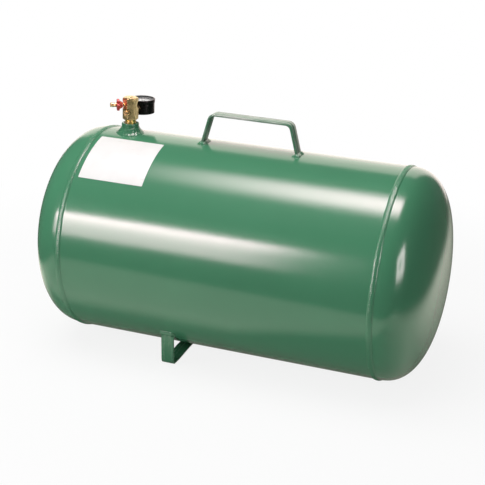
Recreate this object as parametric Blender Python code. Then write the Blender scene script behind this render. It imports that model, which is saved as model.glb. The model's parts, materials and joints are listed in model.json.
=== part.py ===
"""Portable air receiver tank, 300 mm class, with its tank valve, gauge and fill valve.

Everything is built in the tank's own frame: X along the shell's axis, Z towards the
handle, origin at the tank's centre. The empty "tank_frame" then sets the tank down on
the floor, on its foot strap and on the right girth weld, so it leans a little.
"""
from math import atan2, cos, pi, radians, sin, sqrt

import bmesh
import bpy
from mathutils import Matrix, Vector

MM = 0.001
GAP = 0.3 * MM                    # clearance that touching pieces keep

# Pressure vessel
SHELL_RADIUS = 152.4 * MM
SHELL_HALF_LENGTH = 228.6 * MM    # tank centre to girth seam
WALL = 2.0 * MM
HEAD_DEPTH = 69.0 * MM            # girth seam to the head's crown
HEAD_EXPONENT = 2.5               # superellipse of the pressed head
LIP_LENGTH = 10.0 * MM            # joggled lip that slips inside the shell
WELD_WIDTH = 8.6 * MM
WELD_HEIGHT = 1.5 * MM
ROUND_STEPS = 48
SEAM_ANGLE = 148.0                # rolled shell's long seam, degrees from the top

# Carrying handle, bent from flat bar
HANDLE_X = 1.8 * MM
HANDLE_TOP = 198.0 * MM
HANDLE_WIDTH = 19.0 * MM
HANDLE_THICKNESS = 3.4 * MM
HANDLE_HALF_TOP = 60.0 * MM
HANDLE_HALF_BASE = 72.0 * MM
HANDLE_BEND = 9.0 * MM
HANDLE_WELD = (13.0 * MM, 25.0 * MM, 4.2 * MM)   # length, width, height over the shell

# Foot strap, bent from flat bar
FOOT_X = -76.3 * MM
FOOT_WIDTH = 19.4 * MM
FOOT_THICKNESS = 3.2 * MM
FOOT_BOTTOM = 158.2 * MM          # below the tank's axis
FOOT_HALF_TOP = 108.5 * MM
FOOT_HALF_BASE = 104.0 * MM
FOOT_LEG_TOP = -101.0 * MM
FOOT_BEND = 6.0 * MM
FOOT_ARCH_BEND = 8.0 * MM
FOOT_PAD = 16.0 * MM              # flat stretch that stands on the floor
FOOT_ARCH_HALF = 46.0 * MM        # half the raised stretch under the shell
FOOT_WELD = (23.5 * MM, 14.0 * MM, 3.6 * MM)
WELD_TAPER = 0.8                  # top of a strap's weld to its foot

# Blank instruction label on the shell's front
LABEL_X = (-218.0 * MM, -118.8 * MM)
LABEL_ANGLES = (11.7, 44.6)       # degrees from the top, towards the front
LABEL_THICKNESS = 0.25 * MM

# Boss and valve body
VALVE_X = -187.0 * MM
BOSS_RADIUS = 12.8 * MM
BOSS_TOP = 167.4 * MM
BOSS_BOTTOM = 147.0 * MM
BOSS_BORE = 8.8 * MM
NECK_RADIUS = 8.4 * MM
NECK_BOTTOM = 151.0 * MM
HEX_FLATS = 20.3 * MM
HEX_BOTTOM = 172.4 * MM
HEX_TOP = 205.4 * MM
PORT_BORE = 4.3 * MM
PORT_THREAD = 4.0 * MM            # male threads, to their crests
SHUTOFF_ANGLE = 210.0             # degrees from +X towards +Y
SHUTOFF_HEIGHT = 193.9 * MM
GAUGE_ANGLE = 90.0
GAUGE_HEIGHT = 183.7 * MM
FILL_ANGLE = -90.0
FILL_HEIGHT = 184.5 * MM
KNOB_RADIUS = 9.7 * MM            # to the tips of its six lobes

# Pressure gauge
GAUGE_REACH = 41.0 * MM           # valve axis to dial centre
CASE_RADIUS = 18.5 * MM
CASE_BOTTOM = GAUGE_HEIGHT - 10.5 * MM
CASE_TOP = GAUGE_HEIGHT + 9.0 * MM
CASE_WALL = 0.8 * MM
CASE_FLOOR = 1.0 * MM
BEZEL_RADIUS = 19.2 * MM
BEZEL_BOTTOM = CASE_TOP - 2.9 * MM
BEZEL_TOP = CASE_TOP + 2.1 * MM
BEZEL_LIP = 16.9 * MM             # inner radius of the lip over the window
BEZEL_LIP_THICKNESS = 0.6 * MM
DIAL_RADIUS = 17.0 * MM
DIAL_HEIGHT = CASE_TOP - 3.3 * MM
DIAL_THICKNESS = 0.5 * MM
PLATE_THICKNESS = 0.8 * MM
BACK_PLATE = GAUGE_HEIGHT - 5.9 * MM
FRONT_PLATE = GAUGE_HEIGHT + 1.7 * MM
STAFF_RADIUS = 0.45 * MM
PIVOT_BORE = STAFF_RADIUS + GAP
PINION_TEETH = 12
SECTOR_TEETH_PER_TURN = 108
SECTOR_TEETH = 13
CENTRE_DISTANCE = 8.0 * MM
SECTOR_TRAVEL = 30.0              # degrees, for 270 degrees at the pointer
TOOTH_HEIGHT = 0.11 * MM
TUBE_RADIUS = 14.6 * MM
ZERO_ANGLE = 225.0                # pointer at rest, degrees from +X


# ------------------------------------------------------------------ helpers
def clear_scene():
    for item in list(bpy.data.objects):
        bpy.data.objects.remove(item, do_unlink=True)


def make_material(name, color, roughness, metallic=0.0, alpha=1.0):
    material = bpy.data.materials.new(name)
    material.use_nodes = True
    shader = material.node_tree.nodes["Principled BSDF"]
    shader.inputs["Base Color"].default_value = (*color, 1.0)
    shader.inputs["Roughness"].default_value = roughness
    shader.inputs["Metallic"].default_value = metallic
    shader.inputs["Alpha"].default_value = alpha
    return material


def make_materials():
    return {
        "enamel": make_material("green_enamel", (0.09, 0.28, 0.16), 0.25),
        "label": make_material("label_film", (0.85, 0.85, 0.83), 0.4),
        "brass": make_material("brass", (0.62, 0.46, 0.18), 0.3, 1.0),
        "steel": make_material("steel", (0.55, 0.55, 0.56), 0.35, 1.0),
        "red": make_material("red_plastic", (0.55, 0.05, 0.05), 0.4),
        "black": make_material("black_enamel", (0.01, 0.01, 0.01), 0.3),
        "dial": make_material("white_dial", (0.88, 0.88, 0.86), 0.5),
        "window": make_material("clear_window", (0.9, 0.92, 0.92), 0.05, 0.0, 0.3),
        "rubber": make_material("rubber", (0.02, 0.02, 0.02), 0.7),
    }


def add_empty(name, location, rotation=(0.0, 0.0, 0.0), parent=None):
    empty = bpy.data.objects.new(name, None)
    empty.location = location
    empty.rotation_euler = rotation
    empty.parent = parent
    bpy.context.scene.collection.objects.link(empty)
    return empty


def add_object(name, bm, material, parent, smooth=35.0):
    bmesh.ops.remove_doubles(bm, verts=bm.verts, dist=1e-7)
    bmesh.ops.recalc_face_normals(bm, faces=bm.faces)
    mesh = bpy.data.meshes.new(name)
    bm.to_mesh(mesh)
    bm.free()
    if material:
        mesh.materials.append(material)
    mesh.shade_smooth()
    mesh.set_sharp_from_angle(angle=radians(smooth))
    item = bpy.data.objects.new(name, mesh)
    item.parent = parent
    bpy.context.scene.collection.objects.link(item)
    return item


def add_cutter(name, bm, parent):
    cutter = add_object(name, bm, None, parent)
    cutter.hide_render = True
    cutter.display_type = "WIRE"
    return cutter


def combine(item, other, operation="DIFFERENCE"):
    modifier = item.modifiers.new(other.name, "BOOLEAN")
    modifier.operation = operation
    modifier.solver = "EXACT"
    modifier.object = other


def lathe(profile, steps=24, closed=False):
    """Turn (radius, height) points about Z; closed joins the last point to the first."""
    bm = bmesh.new()
    verts = [bm.verts.new((radius, 0.0, height)) for radius, height in profile]
    pairs = list(zip(verts, verts[1:]))
    if closed:
        pairs.append((verts[-1], verts[0]))
    edges = [bm.edges.new(pair) for pair in pairs]
    bmesh.ops.spin(bm, geom=verts + edges, cent=(0, 0, 0), axis=(0, 0, 1),
                   angle=2 * pi, steps=steps, use_merge=True)
    return bm


def turned_bar(*steps_out):
    """Profile of a solid bar: (radius, from height, to height) stretches, low to high."""
    profile = [(0.0, steps_out[0][1])]
    for radius, low, high in steps_out:
        profile += [(radius, low), (radius, high)]
    profile.append((0.0, steps_out[-1][2]))
    return profile


def sleeve(inner, outer, low, high):
    return [(inner, low), (outer, low), (outer, high), (inner, high)]


def circle_points(radius, count, center=(0.0, 0.0), start=0.0):
    turn = 2 * pi / count
    return [(center[0] + radius * cos(start + turn * i), center[1] + radius * sin(start + turn * i))
            for i in range(count)]


def hexagon(flats, start=0.0):
    return circle_points(flats / sqrt(3.0), 6, start=start)


def arc_points(center, radius, first, last, count):
    """Points on an arc, both ends included; angles in degrees."""
    spread = [radians(first + (last - first) * i / (count - 1)) for i in range(count)]
    return [(center[0] + radius * cos(a), center[1] + radius * sin(a)) for a in spread]


def prism(outline, low, high):
    """Extrude an XY outline from low to high along Z."""
    bm = bmesh.new()
    face = bm.faces.new([bm.verts.new((x, y, low)) for x, y in outline])
    extruded = bmesh.ops.extrude_face_region(bm, geom=[face])["geom"]
    moved = [v for v in extruded if isinstance(v, bmesh.types.BMVert)]
    bmesh.ops.translate(bm, verts=moved, vec=(0, 0, high - low))
    return bm


def round_corners(points, radii, count=5):
    """Replace each inner corner of an open path by an arc."""
    path = [Vector(points[0])]
    for before, corner, after, radius in zip(points, points[1:], points[2:], radii):
        corner = Vector(corner)
        back = (Vector(before) - corner).normalized()
        ahead = (Vector(after) - corner).normalized()
        half = back.angle(ahead) / 2
        center = corner + (back + ahead).normalized() * (radius / sin(half))
        start = corner + back * (radius / (sin(half) / cos(half))) - center
        turn = start.angle_signed(corner + ahead * (start + center - corner).length - center)
        for i in range(count):
            step = Matrix.Rotation(-turn * i / (count - 1), 2)
            path.append(center + step @ start)
    path.append(Vector(points[-1]))
    return path


def strap_outline(path, thickness):
    """Thicken a centre line into a closed outline."""
    left, right = [], []
    for i, point in enumerate(path):
        ahead = path[min(i + 1, len(path) - 1)] - path[max(i - 1, 0)]
        side = Vector((-ahead.y, ahead.x)).normalized() * thickness / 2
        left.append(point + side)
        right.append(point - side)
    return [tuple(p) for p in left + right[::-1]]


def turn_mesh(bm, matrix):
    bmesh.ops.transform(bm, matrix=matrix, verts=bm.verts)
    return bm


def helix_spring(name, radius, wire, low, high, turns, material, parent):
    curve = bpy.data.curves.new(name, "CURVE")
    curve.dimensions = "3D"
    curve.bevel_depth = wire
    curve.bevel_resolution = 1
    curve.use_fill_caps = True
    spline = curve.splines.new("POLY")
    count = turns * 12
    spline.points.add(count)
    rise = high - low - 2 * wire
    for i, point in enumerate(spline.points):
        angle = 2 * pi * i / 12
        height = low + wire + rise * i / count
        point.co = (radius * cos(angle), radius * sin(angle), height, 1.0)
    curve.materials.append(material)
    spring = bpy.data.objects.new(name, curve)
    spring.parent = parent
    bpy.context.scene.collection.objects.link(spring)


# ------------------------------------------------------------------ frames
def tank_lean():
    """Lean that puts the foot's right edge and the right girth weld on the floor."""
    weld_drop = SHELL_RADIUS + GAP + WELD_HEIGHT
    foot_edge = FOOT_X + FOOT_WIDTH / 2
    return atan2(FOOT_BOTTOM - weld_drop, SHELL_HALF_LENGTH - foot_edge)


def make_frames():
    lean = tank_lean()
    foot_edge = FOOT_X + FOOT_WIDTH / 2
    height = FOOT_BOTTOM * cos(lean) + foot_edge * sin(lean)
    tank = add_empty("tank_frame", (0, 0, height), (0, lean, 0))
    frames = {"tank": tank}
    frames["axis"] = add_empty("shell_axis", (0, 0, 0), (0, pi / 2, 0), tank)
    frames["across"] = add_empty("across_axis", (0, 0, 0), (pi / 2, 0, 0), tank)
    frames["valve"] = add_empty("valve_axis", (VALVE_X, 0, 0), (0, 0, 0), tank)
    ports = {"shutoff": (SHUTOFF_ANGLE, SHUTOFF_HEIGHT), "gauge_port": (GAUGE_ANGLE, GAUGE_HEIGHT),
             "fill": (FILL_ANGLE, FILL_HEIGHT)}
    for name, (angle, height) in ports.items():
        turn = (pi / 2, 0, radians(angle) + pi / 2)
        frames[name] = add_empty(name + "_axis", (VALVE_X, 0, height), turn, tank)
    frames["dial"] = add_empty("dial_axis", (VALVE_X, GAUGE_REACH, 0), (0, 0, 0), tank)
    frames["sector"] = add_empty("sector_axis", (0, CENTRE_DISTANCE, 0), (0, 0, 0), frames["dial"])
    return frames


# ------------------------------------------------------------------ vessel
def head_curve(radius, depth, count):
    """Superellipse quarter from the rim to the crown, as (radius, height) points."""
    points = []
    for i in range(count + 1):
        angle = pi / 2 * i / count
        points.append((radius * cos(angle) ** (2 / HEAD_EXPONENT),
                       depth * sin(angle) ** (2 / HEAD_EXPONENT)))
    return points[:-1] + [(0.0, depth)]


def head_profile():
    """Inside from the crown to the joggled lip, then the outside back to the crown."""
    lip_outer = SHELL_RADIUS - WALL - GAP
    lip_inner = lip_outer - WALL
    inner = head_curve(SHELL_RADIUS - WALL, HEAD_DEPTH - WALL, 8)[:0:-1]
    joggle = [(SHELL_RADIUS - WALL, WALL), (lip_inner, WALL), (lip_inner, -LIP_LENGTH),
              (lip_outer, -LIP_LENGTH), (lip_outer, 0.0)]
    return inner + joggle + head_curve(SHELL_RADIUS, HEAD_DEPTH, 8)


def bead_profile(base):
    """Half-round weld bead on a round base, about height 0."""
    arc = arc_points((0.0, 0.0), 1.0, 0.0, 180.0, 7)
    return [(base + WELD_HEIGHT * y, WELD_WIDTH / 2 * x) for x, y in arc]


def build_heads(frames, mats):
    for side, sign in (("left", -1), ("right", 1)):
        place = Matrix.Translation((0, 0, sign * SHELL_HALF_LENGTH)) @ Matrix.Diagonal((1, 1, sign, 1))
        head = turn_mesh(lathe(head_profile(), ROUND_STEPS), place)
        add_object(side + "_head", head, mats["enamel"], frames["axis"], 60)
        bead = turn_mesh(lathe(bead_profile(SHELL_RADIUS + GAP), ROUND_STEPS, True), place)
        add_object(side + "_girth_weld", bead, mats["enamel"], frames["axis"], 60)


def build_shell(frames, mats):
    half = SHELL_HALF_LENGTH - GAP
    tube = lathe(sleeve(SHELL_RADIUS - WALL, SHELL_RADIUS, -half, half), ROUND_STEPS, True)
    shell = add_object("shell", tube, mats["enamel"], frames["axis"])
    hole = lathe(turned_bar((BOSS_RADIUS + GAP, 140 * MM, 160 * MM)))
    combine(shell, add_cutter("boss_hole", hole, frames["valve"]))


def curved_plate(name, ends, angles, low, high, steps, material, frames):
    """Sheet that lies on the shell between two angles measured from the top."""
    first, last = (180.0 - a for a in angles)
    outer = arc_points((0, 0), high, first, last, steps)
    inner = arc_points((0, 0), low, last, first, steps)
    plate = prism(outer + inner, *ends)
    return add_object(name, plate, material, frames["axis"], 60)


def build_sheet_pieces(frames, mats):
    seat = SHELL_RADIUS + GAP
    curved_plate("instruction_label", LABEL_X, [-a for a in LABEL_ANGLES], seat,
                 seat + LABEL_THICKNESS, 9, mats["label"], frames)
    seam_end = SHELL_HALF_LENGTH - WELD_WIDTH / 2 - 1.0 * MM
    curved_plate("long_seam_weld", (-seam_end, seam_end), (SEAM_ANGLE - 1.0, SEAM_ANGLE + 1.0),
                 seat, seat + 0.8 * MM, 3, mats["enamel"], frames)


def shell_clearance(frames):
    core = turned_bar((SHELL_RADIUS + GAP, -SHELL_HALF_LENGTH, SHELL_HALF_LENGTH))
    return add_cutter("shell_clearance", lathe(core, ROUND_STEPS), frames["axis"])


def build_boss(frames, mats, clearance):
    tube = lathe(sleeve(BOSS_BORE, BOSS_RADIUS, BOSS_BOTTOM, BOSS_TOP), closed=True)
    add_object("valve_boss", tube, mats["enamel"], frames["valve"])
    inner = BOSS_RADIUS + GAP
    flare = [(inner, 147 * MM), (21.0 * MM, 147 * MM), (20.6 * MM, 153.2 * MM), (17.0 * MM, 155.2 * MM),
             (14.6 * MM, 158.0 * MM), (inner + 0.4 * MM, 161.0 * MM), (inner, 161.0 * MM)]
    fillet = add_object("boss_weld", lathe(flare, closed=True), mats["enamel"], frames["valve"], 60)
    combine(fillet, clearance)


# ------------------------------------------------------------------ handle and foot
def handle_path():
    """Centre line of the handle from foot to foot, in X and Z."""
    top = HANDLE_TOP - HANDLE_THICKNESS / 2
    low = SHELL_RADIUS - 1.5 * MM
    corners = [(-HANDLE_HALF_BASE, low), (-HANDLE_HALF_TOP, top),
               (HANDLE_HALF_TOP, top), (HANDLE_HALF_BASE, low)]
    shifted = [(x + HANDLE_X, z) for x, z in corners]
    return round_corners(shifted, (HANDLE_BEND, HANDLE_BEND))


def foot_path():
    """Centre line of the foot strap, in Y and Z: legs, floor pads and raised middle."""
    low = -FOOT_BOTTOM + FOOT_THICKNESS / 2
    middle = -(SHELL_RADIUS + GAP + FOOT_THICKNESS / 2)
    pad_end = FOOT_HALF_BASE - FOOT_BEND - FOOT_PAD
    half = [(FOOT_HALF_TOP - FOOT_THICKNESS / 2, FOOT_LEG_TOP), (FOOT_HALF_BASE, low),
            (pad_end, low), (FOOT_ARCH_HALF, middle)]
    corners = [(-y, z) for y, z in half] + half[::-1]
    return round_corners(corners, (FOOT_BEND, *[FOOT_ARCH_BEND] * 4, FOOT_BEND), 4)


def strap_mesh(path, thickness, width):
    return prism(strap_outline(path, thickness), -width / 2, width / 2)


def weld_collar(size):
    """Tapered pad of weld metal that a strap's end stands in."""
    length, width, height = size
    low, high = SHELL_RADIUS - 2 * MM, SHELL_RADIUS + height
    bm = bmesh.new()
    bmesh.ops.create_cube(bm, size=1.0)
    for vert in bm.verts:
        scale = WELD_TAPER if vert.co.z > 0 else 1.0
        vert.co = (vert.co.x * length * scale, vert.co.y * width * scale, low if vert.co.z < 0 else high)
    upright = [e for e in bm.edges if abs(e.verts[0].co.z - e.verts[1].co.z) > (high - low) / 2]
    bmesh.ops.bevel(bm, geom=upright, offset=3.0 * MM, segments=3, affect="EDGES", profile=0.5)
    rim = [e for e in bm.edges if e.is_manifold and min(v.co.z for v in e.verts) > high - 0.1 * MM]
    bmesh.ops.bevel(bm, geom=rim, offset=1.0 * MM, segments=2, affect="EDGES", profile=0.5)
    return bm


def build_handle(frames, mats, clearance):
    path = handle_path()
    handle = add_object("handle", strap_mesh(path, HANDLE_THICKNESS, HANDLE_WIDTH),
                        mats["enamel"], frames["across"])
    combine(handle, clearance)
    room = strap_mesh(path, HANDLE_THICKNESS + 2 * GAP, HANDLE_WIDTH + 2 * GAP)
    handle_room = add_cutter("handle_clearance", room, frames["across"])
    for side, sign in (("left", -1), ("right", 1)):
        collar = weld_collar(HANDLE_WELD)
        turn_mesh(collar, Matrix.Translation((HANDLE_X + sign * (HANDLE_HALF_BASE - 0.8 * MM), 0, 0)))
        weld = add_object("handle_weld_" + side, collar, mats["enamel"], frames["tank"], 60)
        combine(weld, clearance)
        combine(weld, handle_room)


def foot_weld_place(sign):
    """Stand a weld collar on the shell where a leg of the foot meets it."""
    y = sign * (FOOT_HALF_TOP - 1.0 * MM)
    angle = atan2(y, sqrt(SHELL_RADIUS ** 2 - y ** 2))
    return Matrix.Translation((FOOT_X, 0, 0)) @ Matrix.Rotation(pi + angle, 4, "X")


def build_foot(frames, mats, clearance):
    path = foot_path()
    along = add_empty("foot_axis", (FOOT_X, 0, 0), (pi / 2, 0, pi / 2), frames["tank"])
    foot = add_object("foot", strap_mesh(path, FOOT_THICKNESS, FOOT_WIDTH), mats["enamel"], along)
    combine(foot, clearance)
    room = strap_mesh(path, FOOT_THICKNESS + 2 * GAP, FOOT_WIDTH + 2 * GAP)
    foot_room = add_cutter("foot_clearance", room, along)
    for side, sign in (("front", -1), ("rear", 1)):
        collar = weld_collar(FOOT_WELD)
        turn_mesh(collar, foot_weld_place(sign))
        weld = add_object("foot_weld_" + side, collar, mats["enamel"], frames["tank"], 60)
        combine(weld, clearance)
        combine(weld, foot_room)


# ------------------------------------------------------------------ valve body
def body_cutters(frames):
    """Passages of the valve body: centre bore, shut-off and outlet, gauge and fill ports."""
    centre = [(0, 140 * MM), (4.0 * MM, 140 * MM), (4.0 * MM, 176 * MM), (2.2 * MM, 178 * MM),
              (2.2 * MM, HEX_TOP - 6.8 * MM), (1.0 * MM, HEX_TOP - 6.8 * MM), (1.0 * MM, HEX_TOP - 5.8 * MM),
              (2.2 * MM, HEX_TOP - 5.8 * MM), (2.2 * MM, HEX_TOP - 1.8 * MM), (4.0 * MM, HEX_TOP - 1.8 * MM),
              (4.0 * MM, HEX_TOP + 1 * MM), (0, HEX_TOP + 1 * MM)]
    shutoff = turned_bar((PORT_BORE, -12 * MM, -3.4 * MM), (1.3 * MM, -3.4 * MM, -2.2 * MM),
                         (2.6 * MM, -2.2 * MM, 4.5 * MM), (4.5 * MM, 4.5 * MM, 12 * MM))
    port = turned_bar((1.6 * MM, 0.0, 4.5 * MM), (PORT_BORE, 4.5 * MM, 12 * MM))
    return [add_cutter("centre_bore", lathe(centre, 24), frames["valve"]),
            add_cutter("shutoff_bore", lathe(shutoff, 24), frames["shutoff"]),
            add_cutter("gauge_bore", lathe(port, 20), frames["gauge_port"]),
            add_cutter("fill_bore", lathe(port, 20), frames["fill"])]


def chamfered_hex(flats, low, high, chamfer):
    """Hexagonal bar with turned-off corners, as a hexagon cut by a double cone."""
    return prism(hexagon(flats, 0.0), low, high), [
        (0.0, low), (flats / 2 - 0.2 * MM, low), (flats / 2 + chamfer, low + chamfer),
        (flats / 2 + chamfer, high - chamfer), (flats / 2 - 0.2 * MM, high), (0.0, high)]


def build_valve_body(frames, mats):
    bar, round_off = chamfered_hex(HEX_FLATS, HEX_BOTTOM, HEX_TOP, 1.6 * MM)
    body = add_object("valve_body", bar, mats["brass"], frames["valve"], 30)
    combine(body, add_cutter("hex_corners", lathe(round_off, 36), frames["valve"]), "INTERSECT")
    neck = lathe(turned_bar((NECK_RADIUS, NECK_BOTTOM, HEX_BOTTOM + 1 * MM)))
    combine(body, add_cutter("neck", neck, frames["valve"]), "UNION")
    for cutter in body_cutters(frames):
        combine(body, cutter)


def build_relief(frames, mats):
    plug = sleeve(0.9 * MM, 3.7 * MM, HEX_TOP - 1.5 * MM, HEX_TOP)
    add_object("relief_plug", lathe(plug, 24, True), mats["brass"], frames["valve"])
    helix_spring("relief_spring", 1.25 * MM, 0.18 * MM, HEX_TOP - 2.7 * MM, HEX_TOP - 1.6 * MM, 2,
                 mats["steel"], frames["valve"])
    ball = bmesh.new()
    bmesh.ops.create_uvsphere(ball, u_segments=16, v_segments=10, radius=1.4 * MM)
    bmesh.ops.translate(ball, verts=ball.verts, vec=(0, 0, HEX_TOP - 4.35 * MM))
    add_object("relief_ball", ball, mats["steel"], frames["valve"], 60)


# ------------------------------------------------------------------ shut-off
def build_shutoff(frames, mats):
    axis = frames["shutoff"]
    gland = [(3.4 * MM, 4.8 * MM), (4.2 * MM, 4.8 * MM), (4.2 * MM, 10.7 * MM), (2.1 * MM, 10.7 * MM),
             (2.1 * MM, 6.9 * MM), (3.4 * MM, 6.9 * MM)]
    add_object("spindle_gland", lathe(gland, 20, True), mats["brass"], axis)
    ring = circle_points(0.5 * MM, 8, (2.7 * MM, 5.9 * MM))
    add_object("spindle_o_ring", lathe(ring, 20, True), mats["rubber"], axis, 60)
    spindle = turned_bar((1.7 * MM, -0.4 * MM, 19.9 * MM), (1.4 * MM, 19.9 * MM, 27.0 * MM))
    add_object("shutoff_spindle", lathe(spindle, 20), mats["brass"], axis)
    disc = turned_bar((2.2 * MM, -1.9 * MM, -0.7 * MM))
    add_object("seat_disc", lathe(disc, 20), mats["rubber"], axis)
    nut = [(1.7 * MM, 20.4 * MM), (3.2 * MM, 20.4 * MM), (3.2 * MM, 29.0 * MM), (2.5 * MM, 29.8 * MM),
           (0.0, 29.8 * MM)]
    bore = [(0.0, 27.4 * MM), (1.7 * MM, 27.4 * MM)]
    add_object("knob_nut", lathe(bore + nut, 20), mats["brass"], axis)
    build_knob(axis, mats)


def knob_outline(radius, depth, lobes, count):
    """Lobed rim: a circle whose radius swells at each finger lobe."""
    points = []
    for i in range(count):
        angle = 2 * pi * i / count
        reach = radius - depth * (0.5 - 0.5 * cos(lobes * angle)) ** 1.5
        points.append((reach * cos(angle), reach * sin(angle)))
    return points


def build_knob(axis, mats):
    rim = prism(knob_outline(KNOB_RADIUS, 2.4 * MM, 6, 48), 16.2 * MM, 20.1 * MM)
    knob = add_object("shutoff_knob", rim, mats["red"], axis, 40)
    hub = turned_bar((3.9 * MM, 11.3 * MM, 12.0 * MM), (6.3 * MM, 16.0 * MM, 16.4 * MM))
    combine(knob, add_cutter("knob_hub", lathe(hub, 24), axis), "UNION")
    bore = turned_bar((2.0 * MM, 10 * MM, 21 * MM))
    combine(knob, add_cutter("knob_bore", lathe(bore, 20), axis))


# ------------------------------------------------------------------ fill valve
def build_fill_valve(frames, mats):
    axis = frames["fill"]
    stem = [(1.2 * MM, 4.8 * MM), (PORT_THREAD, 4.8 * MM), (PORT_THREAD, 15.6 * MM),
            (3.6 * MM, 16.0 * MM), (2.4 * MM, 16.0 * MM), (2.4 * MM, 7.4 * MM), (1.2 * MM, 7.4 * MM)]
    add_object("fill_valve_stem", lathe(stem, 24, True), mats["brass"], axis)
    barrel = [(0.75 * MM, 11.4 * MM), (2.1 * MM, 11.4 * MM), (2.1 * MM, 14.6 * MM), (0.75 * MM, 14.6 * MM)]
    add_object("valve_core_barrel", lathe(barrel, 16, True), mats["brass"], axis)
    pin = turned_bar((0.7 * MM, 7.6 * MM, 8.3 * MM), (0.42 * MM, 8.3 * MM, 15.4 * MM))
    add_object("valve_core_pin", lathe(pin, 12), mats["brass"], axis)
    seal = sleeve(0.75 * MM, 1.9 * MM, 10.1 * MM, 11.0 * MM)
    add_object("valve_core_seal", lathe(seal, 16, True), mats["rubber"], axis)
    helix_spring("valve_core_spring", 1.35 * MM, 0.18 * MM, 7.75 * MM, 9.8 * MM, 3, mats["steel"], axis)


# ------------------------------------------------------------------ gauge
def build_case(frames, mats):
    axis = frames["dial"]
    floor = CASE_BOTTOM + CASE_FLOOR
    cup = [(0.0, CASE_BOTTOM), (CASE_RADIUS - 0.8 * MM, CASE_BOTTOM), (CASE_RADIUS, CASE_BOTTOM + 0.8 * MM),
           (CASE_RADIUS, CASE_TOP), (CASE_RADIUS - CASE_WALL, CASE_TOP), (CASE_RADIUS - CASE_WALL, floor),
           (0.0, floor)]
    case = add_object("gauge_case", lathe(cup, 48), mats["black"], axis)
    window = turned_bar((4.3 * MM, 19 * MM, 27 * MM))
    combine(case, add_cutter("case_hole", lathe(window), frames["gauge_port"]))
    inner = CASE_RADIUS + GAP
    under_lip = BEZEL_TOP - BEZEL_LIP_THICKNESS
    ring = [(inner, BEZEL_BOTTOM), (BEZEL_RADIUS, BEZEL_BOTTOM), (BEZEL_RADIUS, BEZEL_TOP - 0.5 * MM),
            (BEZEL_RADIUS - 0.5 * MM, BEZEL_TOP), (BEZEL_LIP, BEZEL_TOP), (BEZEL_LIP, under_lip),
            (inner, under_lip)]
    add_object("gauge_bezel", lathe(ring, 48, True), mats["black"], axis)
    lens = turned_bar((CASE_RADIUS - 0.1 * MM, CASE_TOP + GAP, under_lip - GAP))
    add_object("gauge_window", lathe(lens, 40), mats["window"], axis)
    dial = sleeve(0.9 * MM, DIAL_RADIUS, DIAL_HEIGHT, DIAL_HEIGHT + DIAL_THICKNESS)
    add_object("dial_plate", lathe(dial, 40, True), mats["dial"], axis)


def build_gauge_socket(frames, mats):
    """Threaded shank, wrench flats and the block that carries the coiled tube."""
    bar = prism(hexagon(11.2 * MM, pi / 6), 10.6 * MM, 21.6 * MM)
    socket = add_object("gauge_socket", bar, mats["brass"], frames["gauge_port"], 30)
    shank = lathe(turned_bar((PORT_THREAD, 4.8 * MM, 24.0 * MM), (3.4 * MM, 24.0 * MM, 27.0 * MM)))
    combine(socket, add_cutter("socket_shank", shank, frames["gauge_port"]), "UNION")
    bore = lathe(turned_bar((1.2 * MM, 4 * MM, 25.0 * MM)), 16)
    combine(socket, add_cutter("socket_bore", bore, frames["gauge_port"]))


def build_bourdon_tube(frames, mats):
    """Flat tube bent into an open ring about the dial's centre."""
    profile = [(TUBE_RADIUS + x, GAUGE_HEIGHT + z) for x, z in
               ((-0.5 * MM, -1.6 * MM), (0.0, -2.0 * MM), (0.5 * MM, -1.6 * MM),
                (0.5 * MM, 1.6 * MM), (0.0, 2.0 * MM), (-0.5 * MM, 1.6 * MM))]
    bm = bmesh.new()
    verts = [bm.verts.new((r, 0.0, z)) for r, z in profile]
    face = bm.faces.new(verts)
    bmesh.ops.spin(bm, geom=verts + list(face.edges) + [face], cent=(0, 0, 0), axis=(0, 0, 1),
                   angle=radians(235.0), steps=28)
    turn_mesh(bm, Matrix.Rotation(radians(-69.0), 4, "Z"))
    add_object("bourdon_tube", bm, mats["brass"], frames["dial"], 50)


def plate_outline(half_width, low, high):
    """Long movement plate with round ends."""
    top = arc_points((0.0, high - half_width), half_width, 0.0, 180.0, 7)
    bottom = arc_points((0.0, low + half_width), half_width, 180.0, 360.0, 7)
    return top + bottom


def build_movement(frames, mats):
    axis = frames["dial"]
    outline = plate_outline(4.2 * MM, -5.0 * MM, 12.0 * MM)
    hole = turned_bar((PIVOT_BORE, BACK_PLATE - 2 * MM, FRONT_PLATE + 2 * MM))
    pivots = add_cutter("pinion_pivot", lathe(hole, 12), axis)
    sector_pivot = add_cutter("sector_pivot", lathe(hole, 12), frames["sector"])
    for name, low in (("movement_back_plate", BACK_PLATE), ("movement_front_plate", FRONT_PLATE)):
        plate = add_object(name, prism(outline, low, low + PLATE_THICKNESS), mats["brass"], axis)
        combine(plate, pivots)
        combine(plate, sector_pivot)
    bar = turned_bar((0.7 * MM, BACK_PLATE + PLATE_THICKNESS + GAP, FRONT_PLATE - GAP))
    for side, x, y in (("left", -3.2 * MM, -2.4 * MM), ("right", 3.2 * MM, -2.4 * MM)):
        pillar = turn_mesh(lathe(bar, 12), Matrix.Translation((x, y, 0)))
        add_object("movement_pillar_" + side, pillar, mats["brass"], axis)


def gear_tooth(radius, middle, pitch):
    """One tooth as (x, y) points: root, tip, tip, root, about its middle angle."""
    shape = ((-0.30, -TOOTH_HEIGHT), (-0.10, TOOTH_HEIGHT), (0.10, TOOTH_HEIGHT), (0.30, -TOOTH_HEIGHT))
    return [((radius + reach) * Vector((cos(middle + part * pitch), sin(middle + part * pitch))))
            for part, reach in shape]


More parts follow.
